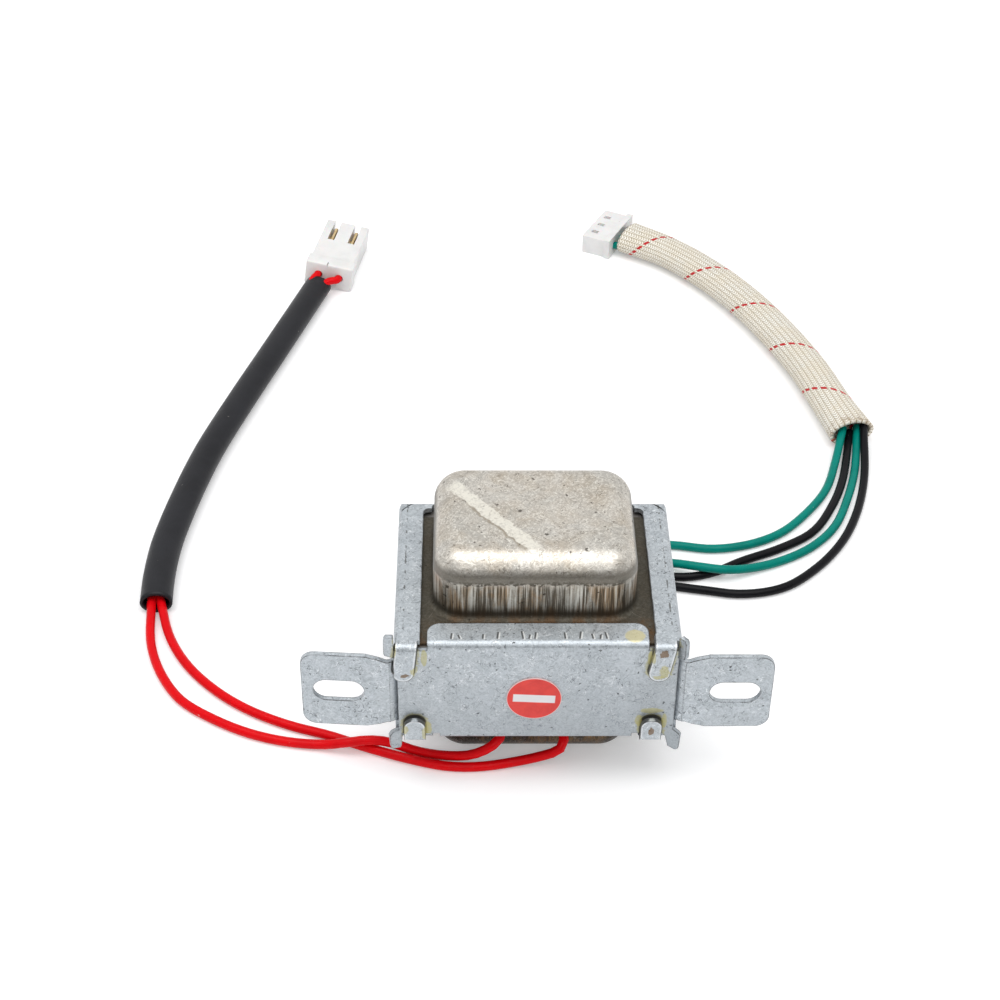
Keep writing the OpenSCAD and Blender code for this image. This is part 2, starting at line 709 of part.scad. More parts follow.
module three_way_contacts() {
    color([0.8, 0.8, 0.78]) three_way_place()
        for (y = [-1, 0, 1])
            translate([-three_l / 2 + 0.6, y * three_pitch - 0.8, three_h / 2 - 0.8])
                cube([three_l - 1.4, 1.6, 1.6]);
}

channel_frame();
front_plate();
upper_cover();
lower_cover();
core_e_stack();
core_i_stack();
bobbin();
primary_winding();
secondary_winding();
primary_tape();
secondary_tape();
seal_disc();
red_lead_a();
red_lead_b();
green_lead_a();
green_lead_b();
black_lead_a();
black_lead_b();
black_sleeve();
braided_sleeve();
two_way_housing();
two_way_contacts();
three_way_housing();
three_way_contacts();
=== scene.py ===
import math
import bmesh
import bpy
from mathutils import Matrix, Vector


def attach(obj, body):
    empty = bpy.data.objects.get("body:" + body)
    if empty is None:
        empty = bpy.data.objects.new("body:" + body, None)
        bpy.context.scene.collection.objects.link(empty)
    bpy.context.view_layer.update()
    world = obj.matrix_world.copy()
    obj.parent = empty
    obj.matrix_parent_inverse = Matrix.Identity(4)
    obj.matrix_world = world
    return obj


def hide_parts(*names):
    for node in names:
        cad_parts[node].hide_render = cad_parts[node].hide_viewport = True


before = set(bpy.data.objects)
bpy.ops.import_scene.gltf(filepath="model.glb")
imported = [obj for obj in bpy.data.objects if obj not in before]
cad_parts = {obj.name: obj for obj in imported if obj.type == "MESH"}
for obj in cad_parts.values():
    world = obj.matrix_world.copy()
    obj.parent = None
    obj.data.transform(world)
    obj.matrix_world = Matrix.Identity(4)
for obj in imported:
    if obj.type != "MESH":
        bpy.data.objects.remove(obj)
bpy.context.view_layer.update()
scene = bpy.context.scene
scene.view_settings.view_transform = "Standard"
mm = 0.001
print("frame loaded:", len(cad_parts), "solids")

# Small helpers for objects and meshes


def newObject(name, data):
    made = bpy.data.objects.new(name, data)
    scene.collection.objects.link(made)
    return made


def meshFrom(bm, name):
    mesh = bpy.data.meshes.new(name)
    bmesh.ops.recalc_face_normals(bm, faces=bm.faces)
    bm.to_mesh(mesh)
    bm.free()
    return newObject(name, mesh)


def softFaces(bm, degrees):
    for face in bm.faces:
        face.smooth = True
    for line in bm.edges:
        line.smooth = line.calc_face_angle(0) < math.radians(degrees)


def roundEdges(bm, edges, offset):
    bmesh.ops.bevel(bm, geom=edges, offset=offset, segments=3, profile=0.5, affect="EDGES", material=-1)


# Camera

cameraSettings = {
    "place": (-0.010661, -0.239196, 0.234937),
    "lens": 72.0,
    "sensor": 36.0,
    "down": 38.53,      # degrees below level
    "yaw": 1.177,       # degrees to the right of +Y
    "roll": -0.774,
}


def makeCamera(settings):
    down, yaw, roll = (math.radians(settings[k]) for k in ("down", "yaw", "roll"))
    ahead = Vector((math.sin(yaw) * math.cos(down), math.cos(yaw) * math.cos(down), -math.sin(down)))
    levelRight = Vector((math.cos(yaw), -math.sin(yaw), 0))
    levelDown = ahead.cross(levelRight)
    right = levelRight * math.cos(roll) + levelDown * math.sin(roll)
    below = -levelRight * math.sin(roll) + levelDown * math.cos(roll)
    data = bpy.data.cameras.new("benchCamera")
    data.lens = settings["lens"]
    data.sensor_width = settings["sensor"]
    data.clip_start = 0.01
    camera = newObject("benchCamera", data)
    camera.matrix_world = Matrix.Translation(settings["place"]) @ Matrix(
        (right, -below, -ahead)).transposed().to_4x4()
    scene.camera = camera


makeCamera(cameraSettings)

# Small helpers for node trees


def addNode(tree, kind, settings=None, sockets=None):
    made = tree.nodes.new("ShaderNode" + kind)
    for key, value in (settings or {}).items():
        setattr(made, key, value)
    for key, value in (sockets or {}).items():
        target = made.inputs[key]
        if isinstance(value, bpy.types.NodeSocket):
            tree.links.new(value, target)
        else:
            target.default_value = value
    return made


def calc(tree, kind, a, b=0.0, c=0.0, clamp=False):
    return addNode(tree, "Math", {"operation": kind, "use_clamp": clamp}, {0: a, 1: b, 2: c}).outputs[0]


def times(tree, a, *more):
    for b in more:
        a = calc(tree, "MULTIPLY", a, b)
    return a


def timesPlus(tree, a, b, c):
    return calc(tree, "MULTIPLY_ADD", a, b, c)


def offBy(tree, value, centre):
    return calc(tree, "ABSOLUTE", calc(tree, "SUBTRACT", value, centre))


def raggedEdge(tree, noise, reach, value):
    return timesPlus(tree, calc(tree, "SUBTRACT", noise, 0.5), reach, value)


def between(tree, value, low, high, out0=0.0, out1=1.0):
    sockets = {"Value": value, "From Min": low, "From Max": high, "To Min": out0, "To Max": out1}
    return addNode(tree, "MapRange", {"interpolation_type": "SMOOTHSTEP"}, sockets).outputs["Result"]


def blendColour(tree, amount, a, b):
    made = addNode(tree, "Mix", {"data_type": "RGBA", "clamp_factor": True}, {"Factor": amount})
    for socket, value in ((made.inputs[6], a), (made.inputs[7], b)):
        if isinstance(value, bpy.types.NodeSocket):
            tree.links.new(value, socket)
        else:
            socket.default_value = (*value, 1)
    return made.outputs[2]


def tinted(tree, colour, mask, strength, tint):
    return blendColour(tree, times(tree, mask, strength), colour, tint)


def layered(tree, colour, *layers):
    for mask, strength, tint in layers:
        colour = tinted(tree, colour, mask, strength, tint)
    return colour


def parted(tree, vector):
    return addNode(tree, "SeparateXYZ", None, {"Vector": vector}).outputs


def vectorMath(tree, kind, a, b=(0, 0, 0), c=(0, 0, 0), output="Vector"):
    return addNode(tree, "VectorMath", {"operation": kind}, {0: a, 1: b, 2: c}).outputs[output]


def noiseAt(tree, vector, scale, detail=2.0, rough=0.5, warp=0.0):
    sockets = {"Vector": vector, "Scale": scale, "Detail": detail, "Roughness": rough, "Distortion": warp}
    return addNode(tree, "TexNoise", None, sockets).outputs["Fac"]


def mapped(tree, vector, scale=(1, 1, 1), turn=(0, 0, 0), shift=(0, 0, 0)):
    sockets = {"Vector": vector, "Scale": scale, "Rotation": turn, "Location": shift}
    return addNode(tree, "Mapping", None, sockets).outputs[0]


def newGroup(name, inputs, outputs):
    group = bpy.data.node_groups.new(name, "ShaderNodeTree")
    for label, kind, value in inputs:
        made = group.interface.new_socket(name=label, in_out="INPUT", socket_type="NodeSocket" + kind)
        if value is not None:
            made.default_value = value
    for label, kind in outputs:
        group.interface.new_socket(name=label, in_out="OUTPUT", socket_type="NodeSocket" + kind)
    return group, group.nodes.new("NodeGroupInput").outputs, group.nodes.new("NodeGroupOutput").inputs


def useGroup(tree, group, sockets):
    made = tree.nodes.new("ShaderNodeGroup")
    made.node_tree = group
    for key, value in sockets.items():
        if isinstance(value, bpy.types.NodeSocket):
            tree.links.new(value, made.inputs[key])
        else:
            made.inputs[key].default_value = value
    return made.outputs


def newMaterial(name, **plain):
    material = bpy.data.materials.new(name)
    material.use_nodes = True
    tree = material.node_tree
    shader = tree.nodes["Principled BSDF"]
    for key, value in plain.items():
        shader.inputs[key.replace("_", " ")].default_value = value
    place = addNode(tree, "TexCoord").outputs
    return material, tree, shader, place


def finished(material, tree, shader, tone, rough, height, strength, distance):
    made = addNode(tree, "Bump", None, {"Height": height, "Strength": strength, "Distance": distance})
    for value, socket in ((tone, "Base Color"), (rough, "Roughness"), (made.outputs[0], "Normal")):
        tree.links.new(value, shader.inputs[socket])
    return material


def cloudy(tree, at, noise, base, shade, rough, share=1.0):
    cloud = noiseAt(tree, at, *noise)
    tone = blendColour(tree, between(tree, cloud, 0.35, 0.7, 0.0, share), base, shade)
    return cloud, tone, between(tree, cloud, 0.3, 0.75, *rough)


def cloudedSurface(name, finish, **plain):
    material, tree, shader, place = newMaterial(name, **plain)
    at = place["Object"]
    tone, rough = cloudy(tree, at, finish["cloud"], finish["base"], finish["shade"], finish["rough"],
                         finish.get("share", 1.0))[1:]
    if "specks" in finish:
        scale, size, share, strength, tint = finish["specks"]
        tone = tinted(tree, tone, pitMask(tree, at, scale, size, share), strength, tint)
    return finished(material, tree, shader, tone, rough, noiseAt(tree, at, *finish["grain"]), *finish["bump"])


# Groups that several finishes share


def makeCurlGroup():
    group, inlet, outlet = newGroup("curledMottle", [("Vector", "Vector", None), ("Scale", "Float", 1500.0)],
                                    [("Strokes", "Float"), ("Cloud", "Float"), ("DarkCurl", "Float"),
                                     ("LightCurl", "Float")])
    warped = noiseAt(group, inlet["Vector"], inlet["Scale"], 2.0, 0.6, 2.6)
    broad = noiseAt(group, inlet["Vector"], times(group, inlet["Scale"], 0.16), 3.0, 0.6, 0.6)
    group.links.new(between(group, warped, 0.33, 0.67), outlet["Strokes"])
    group.links.new(between(group, broad, 0.3, 0.7), outlet["Cloud"])
    for label, shift in (("DarkCurl", 0.013), ("LightCurl", 0.071)):
        moved = mapped(group, inlet["Vector"], shift=(shift, shift * 2, -shift))
        field = noiseAt(group, moved, times(group, inlet["Scale"], 0.85), 1.5, 0.5, 1.1)
        line = between(group, offBy(group, field, 0.5), 0.020, 0.008)
        gate = noiseAt(group, moved, times(group, inlet["Scale"], 0.5), 1.0, 0.5, 0.0)
        group.links.new(times(group, line, between(group, gate, 0.50, 0.58)), outlet[label])
    return group


def makePitGroup():
    group, inlet, outlet = newGroup("smallPits", [("Vector", "Vector", None), ("Scale", "Float", 700.0),
                                                  ("Size", "Float", 0.16), ("Share", "Float", 0.5)],
                                    [("Mask", "Float")])
    warp = addNode(group, "TexNoise", None, {"Vector": inlet["Vector"], "Scale": 2600.0, "Detail": 1.0})
    shifted = vectorMath(group, "MULTIPLY_ADD", warp.outputs["Color"], (0.0007,) * 3, inlet["Vector"])
    cells = addNode(group, "TexVoronoi", None, {"Vector": shifted, "Scale": inlet["Scale"]}).outputs
    chance = addNode(group, "SeparateColor", None, {"Color": cells["Color"]}).outputs
    radius = times(group, inlet["Size"], chance[0])
    outside = between(group, cells["Distance"], times(group, radius, 0.6), radius)
    inside = calc(group, "SUBTRACT", 1.0, outside)
    kept = calc(group, "LESS_THAN", chance[1], inlet["Share"])
    group.links.new(times(group, inside, kept), outlet["Mask"])
    return group


def makeScratchGroup():
    group, inlet, outlet = newGroup("fineScratches", [("Vector", "Vector", None), ("Long", "Float", 60.0),
                                                      ("Fine", "Float", 4000.0), ("Share", "Float", 0.62)],
                                    [("Mask", "Float")])
    stretch = addNode(group, "CombineXYZ", None, {"X": inlet["Long"], "Y": inlet["Fine"], "Z": inlet["Fine"]})
    lines = vectorMath(group, "MULTIPLY", inlet["Vector"], stretch.outputs[0])
    streaks = noiseAt(group, lines, 1.0, 1.5, 0.5, 0.0)
    group.links.new(between(group, streaks, inlet["Share"], calc(group, "ADD", inlet["Share"], 0.1)),
                    outlet["Mask"])
    return group


def makeStainGroup():
    group, inlet, outlet = newGroup("stainAt", [("Vector", "Vector", None), ("Centre", "Vector", None),
                                                ("Reach", "Vector", (1, 1, 1)), ("Ragged", "Float", 0.5)],
                                    [("Mask", "Float")])
    away = vectorMath(group, "SUBTRACT", inlet["Vector"], inlet["Centre"])
    unit = vectorMath(group, "DIVIDE", away, inlet["Reach"])
    length = vectorMath(group, "LENGTH", unit, output="Value")
    rag = noiseAt(group, inlet["Vector"], 1300.0, 3.0, 0.6, 0.5)
    edge = raggedEdge(group, rag, inlet["Ragged"], length)
    group.links.new(between(group, edge, 1.0, 0.82), outlet["Mask"])
    return group


def makeStadiumGroup():
    group, inlet, outlet = newGroup("roundStrip", [("Vector", "Vector", None), ("Start", "Vector", None),
                                                   ("Run", "Vector", None), ("Radius", "Float", 0.001)],
                                    [("Distance", "Float")])
    off = vectorMath(group, "SUBTRACT", inlet["Vector"], inlet["Start"])
    up = vectorMath(group, "DOT_PRODUCT", off, inlet["Run"], output="Value")
    own = vectorMath(group, "DOT_PRODUCT", inlet["Run"], inlet["Run"], output="Value")
    share = calc(group, "DIVIDE", up, own, clamp=True)
    gap = vectorMath(group, "SUBTRACT", off, vectorMath(group, "MULTIPLY", inlet["Run"], share))
    length = vectorMath(group, "LENGTH", gap, output="Value")
    group.links.new(calc(group, "SUBTRACT", length, inlet["Radius"]), outlet["Distance"])
    return group


curlGroup, pitGroup = makeCurlGroup(), makePitGroup()
scratchGroup, stainGroup = makeScratchGroup(), makeStainGroup()
stadiumGroup = makeStadiumGroup()


def pitMask(tree, vector, scale, size, share):
    return useGroup(tree, pitGroup, {"Vector": vector, "Scale": scale, "Size": size, "Share": share})["Mask"]


def scratchMask(tree, vector, long, fine, share):
    sockets = {"Vector": vector, "Long": long, "Fine": fine, "Share": share}
    return useGroup(tree, scratchGroup, sockets)["Mask"]


def stripDistance(tree, flat, start, end, radius):
    run = [(b - a) * mm for a, b in zip(start, end)]
    return useGroup(tree, stadiumGroup, {"Vector": flat, "Start": [v * mm for v in start], "Run": run,
                                         "Radius": radius * mm})["Distance"]


def stained(tree, vector, colour, marks, tint, strength):
    for centre, reach, ragged in marks:
        mask = useGroup(tree, stainGroup, {"Vector": vector, "Centre": [v * mm for v in centre],
                                           "Reach": [v * mm for v in reach], "Ragged": ragged})["Mask"]
        colour = tinted(tree, colour, mask, strength, tint)
    return colour


# Sheet metal: the folded frame and its front plate

zincFinish = {
    "base": (0.425, 0.462, 0.492),
    "light": (0.62, 0.655, 0.685),
    "dark": (0.235, 0.255, 0.275),
    "pit": (0.045, 0.045, 0.04),
    "pale": (0.62, 0.56, 0.30),
    "varnish": (0.44, 0.40, 0.14),
    "rust": (0.16, 0.085, 0.025),
    "roughness": 0.44,
}


def sheetEdge(tree, radius, share):
    turned = addNode(tree, "Bevel", {"samples": 8}, {"Radius": radius}).outputs["Normal"]
    flat = addNode(tree, "NewGeometry").outputs["True Normal"]
    agree = vectorMath(tree, "DOT_PRODUCT", turned, flat, output="Value")
    return between(tree, agree, 0.985, 0.90, 0.0, share)


def zincSurface(name, finish, onPlate, marks):
    material, tree, shader, place = newMaterial(name, Metallic=0.62, IOR=1.6)
    at = place["Object"]
    curl = useGroup(tree, curlGroup, {"Vector": at, "Scale": 1050.0})
    colour = blendColour(tree, curl["Cloud"], finish["base"], tuple(v * 1.12 for v in finish["base"]))
    lightMask = between(tree, curl["Strokes"], 0.60, 0.95, 0.0, 0.5)
    darkMask = between(tree, curl["Strokes"], 0.34, 0.03, 0.0, 0.45)
    colour = blendColour(tree, lightMask, colour, finish["light"])
    colour = blendColour(tree, darkMask, colour, finish["dark"])
    colour = layered(
        tree, colour, (curl["LightCurl"], 0.62, (0.84, 0.87, 0.89)),
        (curl["DarkCurl"], 0.8, (0.11, 0.12, 0.13)))
    tall = noiseAt(tree, at, 90.0, 3.0, 0.6, 0.4)
    colour = blendColour(tree, between(tree, tall, 0.4, 0.75, 0.0, 0.22), colour, (0.42, 0.45, 0.46))
    pits = calc(tree, "MAXIMUM", pitMask(tree, at, 700.0, 0.19, 0.42), pitMask(tree, at, 1500.0, 0.30, 0.22))
    scratch = scratchMask(tree, mapped(tree, at, turn=(0.3, 0.9, 0.6)), 170.0, 2600.0, 0.72)
    colour = layered(
        tree, colour, (scratch, 0.4, finish["dark"]),
        (pits, 0.85, finish["pit"]))
    spot = parted(tree, at)
    if onPlate:     # painted shade: the face darkens towards the foot and to the right
        low = timesPlus(tree, spot["X"], -0.22, spot["Z"])
        paintedShade = between(tree, low, 0.030, 0.004, 0.05, 0.52)
    else:
        # painted shade on the right side's top, and a painted highlight on the left side lip
        rightHigh = between(tree, spot["Z"], 0.0320, 0.0310, 0.28, 0.0)
        leftHigh = between(tree, spot["Z"], 0.0306, 0.0312, 0.0, 0.5)
        paintedShade = times(tree, between(tree, spot["X"], 0.010, 0.024), rightHigh)
        bright = times(tree, between(tree, spot["X"], -0.020, -0.022), leftHigh)
        colour = blendColour(tree, bright, colour, (0.78, 0.80, 0.81))
    colour = blendColour(tree, paintedShade, colour, (0.26, 0.285, 0.305))
    colour = lipPunches(tree, at, colour) if onPlate else lipBendLine(tree, at, colour)
    colour = tabEdgeShadeHighlightAndVarnish(tree, at, colour, onPlate)
    # painted shade: a dark line along every sheet edge, found with the Bevel node and broken up by noise
    paintedEdgeShadeBreakup = between(tree, noiseAt(tree, at, 420.0, 2.0), 0.40, 0.56, 0.35, 1.0)
    edge = times(tree, sheetEdge(tree, 0.00030, 0.95), paintedEdgeShadeBreakup)
    colour = blendColour(tree, edge, colour, (0.05, 0.052, 0.05))
    for kind, strength in (("pale", 0.75), ("varnish", 0.6), ("rust", 0.8)):
        colour = stained(tree, at, colour, marks.get(kind, ()), finish[kind], strength)
    rough = timesPlus(tree, curl["Strokes"], 0.14, finish["roughness"] - 0.07)
    rough = timesPlus(tree, pits, 0.3, rough)
    height = calc(tree, "SUBTRACT", times(tree, curl["Strokes"], 0.5), pits)
    return finished(material, tree, shader, colour, rough, height, 0.35, 0.00006)


tabOutlines = {      # middles of each tab's root and tip, across the plate and up
    "topLeft": ((-19.9, 31.0), (-20.5, 25.05)), "topRight": ((19.4, 31.0), (18.5, 25.05)),
    "lowLeft": ((-18.9, 9.5), (-18.9, 13.85)), "lowRight": ((17.9, 9.5), (17.9, 13.85)),
}
tabHalf = 1.65
punchMarks = [(-13.2, 0.1, 1.0), (-11.9, -0.2, 0.6), (-8.4, 0.05, 0.8), (-6.2, 0.15, 1.3), (-2.3, -0.2, 1.5),
              (-1.4, 0.15, 0.7), (-0.5, 0.15, 1.2), (4.1, -0.1, 1.2), (6.3, 0.2, 1.4), (8.3, -0.15, 0.9),
              (9.4, 0.1, 0.7), (10.4, -0.2, 1.2)]      # place along the lip, slant and length
punchSides = [       # each mark is a painted highlight stroke, then a painted shade stroke beside it: shift along the lip, foot, radius, strength and colour
    (0.24, -16.0, 0.10, 0.8, (0.85, 0.87, 0.87)), (0, -15.9, 0.11, 0.85, (0.06, 0.06, 0.058))]


def tabEdgeShadeHighlightAndVarnish(tree, at, colour, onPlate):
    flat = vectorMath(tree, "MULTIPLY", at, (1, 0, 1))
    front = between(tree, parted(tree, at)["Y"], -0.0164, -0.0169)
    rag = noiseAt(tree, at, 1100.0, 3.0, 0.6, 0.5)
    for root, tip in tabOutlines.values():
        away = stripDistance(tree, flat, (root[0], 0, root[1]), (tip[0], 0, tip[1]), tabHalf)
        if onPlate:
            # on the plate: a varnish stain halo round each tab, and a painted shadow line just outside its
            # edge
            ragged = raggedEdge(tree, rag, 0.0016, away)
            halo = times(tree, between(tree, ragged, 0.0006, 0.0003), between(tree, away, -0.0003, 0.0))
            colour = blendColour(tree, times(tree, halo, front, 0.55), colour, zincFinish["varnish"])
            line = times(tree, between(tree, away, 0.00030, 0.00008), front)
            colour = tinted(tree, colour, line, 0.85, (0.045, 0.042, 0.035))
        else:
            # on the frame: a painted highlight line just inside each tab's edge, and a painted shade rim
            # along that edge
            line = times(tree, between(tree, away, -0.00042, -0.00022),
                         between(tree, away, -0.00002, -0.00012), front,
                         between(tree, rag, 0.36, 0.5, 0.35, 1.0))
            colour = tinted(tree, colour, line, 0.55, (0.80, 0.82, 0.83))
            rim = times(tree, between(tree, away, -0.00012, 0.0), between(tree, away, 0.0003, 0.0002), front)
            colour = tinted(tree, colour, rim, 0.8, (0.05, 0.048, 0.042))
    return colour


def lipPunches(tree, at, colour):
    flat = vectorMath(tree, "MULTIPLY", at, (1, 1, 0))
    top = between(tree, parted(tree, at)["Z"], 0.0299, 0.0302)
    for x, slant, long in punchMarks:
        for dx, y, radius, strength, tint in punchSides:
            side = stripDistance(tree, flat, (x + dx, y, 0), (x + dx + slant, y + long, 0), radius)
            mask = times(tree, between(tree, side, 0.00006, 0.0), top)
            colour = tinted(tree, colour, mask, strength, tint)
    return colour


def lipBendLine(tree, at, colour):
    parts = parted(tree, at)
    rag = noiseAt(tree, at, 700.0, 3.0, 0.6, 0.4)
    near = offBy(tree, calc(tree, "ABSOLUTE", parts["X"]), 0.0205)
    near = raggedEdge(tree, rag, 0.0004, near)
    top = between(tree, parts["Z"], 0.0299, 0.0302)
    dots = between(tree, noiseAt(tree, mapped(tree, at, scale=(300, 900, 300)), 1.0, 2.0), 0.48, 0.56)
    back = between(tree, parts["Y"], -0.0145, -0.0135)
    # painted shade: a dotted dark line along each side lip's bend, 20.5 mm either side of the middle
    line = times(tree, between(tree, near, 0.00016, 0.00005), top, dots, back, 0.75)
    return blendColour(tree, line, colour, (0.07, 0.068, 0.06))


channelMarks = {
    "varnish": [((-21.9, -17.6, 29.6), (0.5, 1.2, 1.6), 0.5), ((-18.1, -17.4, 28.0), (0.55, 0.8, 1.9), 0.6),
                ((-18.5, -18.2, 25.4), (1.0, 0.5, 0.8), 1.2), ((17.5, -17.6, 28.2), (0.45, 0.8, 1.6), 0.6),
                ((19.3, -18.2, 25.4), (0.8, 0.6, 1.3), 1.8), ((18.2, -18.2, 24.3), (0.9, 0.6, 0.5), 1.8),
                ((-17.3, -18.2, 12.6), (0.5, 0.8, 1.6), 1.0), ((-20.3, -18.2, 13.4), (0.5, 0.8, 1.2), 1.0)],
    "rust": [((18.9, -18.0, 29.1), (0.7, 0.8, 0.9), 1.9), ((-20.3, -18.0, 24.6), (0.8, 0.7, 0.4), 1.8),
             ((17.9, -18.3, 12.9), (0.5, 0.7, 0.9), 1.8)],
}
plateMarks = {
    "pale": [((14.7, -15.4, 30.4), (1.7, 1.5, 0.6), 0.35)],
    "varnish": [((-16.9, -17.3, 12.6), (0.7, 0.4, 1.8), 0.9), ((15.9, -17.3, 14.3), (0.6, 0.4, 1.3), 0.6),
                ((19.9, -17.3, 14.3), (0.5, 0.4, 1.6), 0.6), ((17.9, -17.3, 16.5), (1.9, 0.4, 0.6), 0.6),
                ((-17.3, -17.3, 27.6), (0.5, 0.4, 1.9), 0.8), ((17.0, -17.3, 27.6), (0.4, 0.4, 1.6), 0.8)],
    "rust": [((-17.4, -17.3, 10.9), (0.7, 0.4, 0.5), 1.0)],
}

channelZinc = zincSurface("channelZinc", zincFinish, False, channelMarks)
plateZinc = zincSurface("plateZinc", zincFinish, True, plateMarks)
print("sheet finishes made")

# Copies of the solids, merged, with broken edges


def cadCopy(node, name, edge, segments=2, shape=None):
    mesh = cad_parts[node].data.copy()
    bm = bmesh.new()
    bm.from_mesh(mesh)
    bmesh.ops.remove_doubles(bm, verts=bm.verts, dist=2e-6)
    bmesh.ops.dissolve_limit(bm, angle_limit=math.radians(0.6), verts=bm.verts, edges=bm.edges)
    if shape:
        shape(bm)
    softFaces(bm, 30)
    bm.to_mesh(mesh)
    bm.free()
    mesh.materials.clear()
    piece = newObject(name, mesh)
    if edge:
        bevel = piece.modifiers.new("brokenEdges", "BEVEL")
        bevel.width = edge
        bevel.segments = segments
        bevel.limit_method = "ANGLE"
        bevel.angle_limit = math.radians(35)
        bevel.harden_normals = True
        bevel.use_clamp_overlap = True
    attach(piece, "root")
    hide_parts(node)
    return piece


def dress(piece, material):
    piece.data.materials.clear()
    piece.data.materials.append(material)


lugSet = {"from": -0.0232, "lean": 4.0}


def leanLeftLug(bm):
    bmesh.ops.bisect_plane(bm, geom=bm.verts[:] + bm.edges[:] + bm.faces[:], dist=1e-7,
                           plane_co=(lugSet["from"] - 0.0004, 0, 0), plane_no=(1, 0, 0))
    slope = math.tan(math.radians(lugSet["lean"]))
    for vert in bm.verts:
        past = lugSet["from"] - vert.co.x
        if past > 0:
            vert.co.y += past * slope


channelPiece = cadCopy("channel_frame", "channelFrame", 0.00012, 2, leanLeftLug)
dress(channelPiece, channelZinc)
platePiece = cadCopy("front_plate", "frontPlate", 0.0001, 2)
dress(platePiece, plateZinc)
print("frame and plate dressed")

# Drawn covers

coverFinish = {
    "base": (0.62, 0.585, 0.53),
    "warm": (0.50, 0.44, 0.36),
    "grey": (0.46, 0.45, 0.42),
    "scrape": (0.86, 0.83, 0.74),
    "rust": (0.30, 0.17, 0.065),
    "deep": (0.060, 0.047, 0.030),
    "flangePaintedShade": (0.066, 0.059, 0.043),
    "bright": (0.74, 0.72, 0.66),
    "wall": (0.27, 0.25, 0.21),
    "pit": (0.04, 0.032, 0.022),
}


coverLevels = {      # heights between which each of these fades in, and the seam's middle
    "upper": {"fall": (0.0371, 0.0353), "foot": (0.0322, 0.0306), "bandTop": (0.0389, 0.0377),
              "bandFoot": (0.0362, 0.0368), "seam": 0.03655},
    "lower": {"fall": (0.0002, 0.0016), "foot": (0.0085, 0.0101)},
}


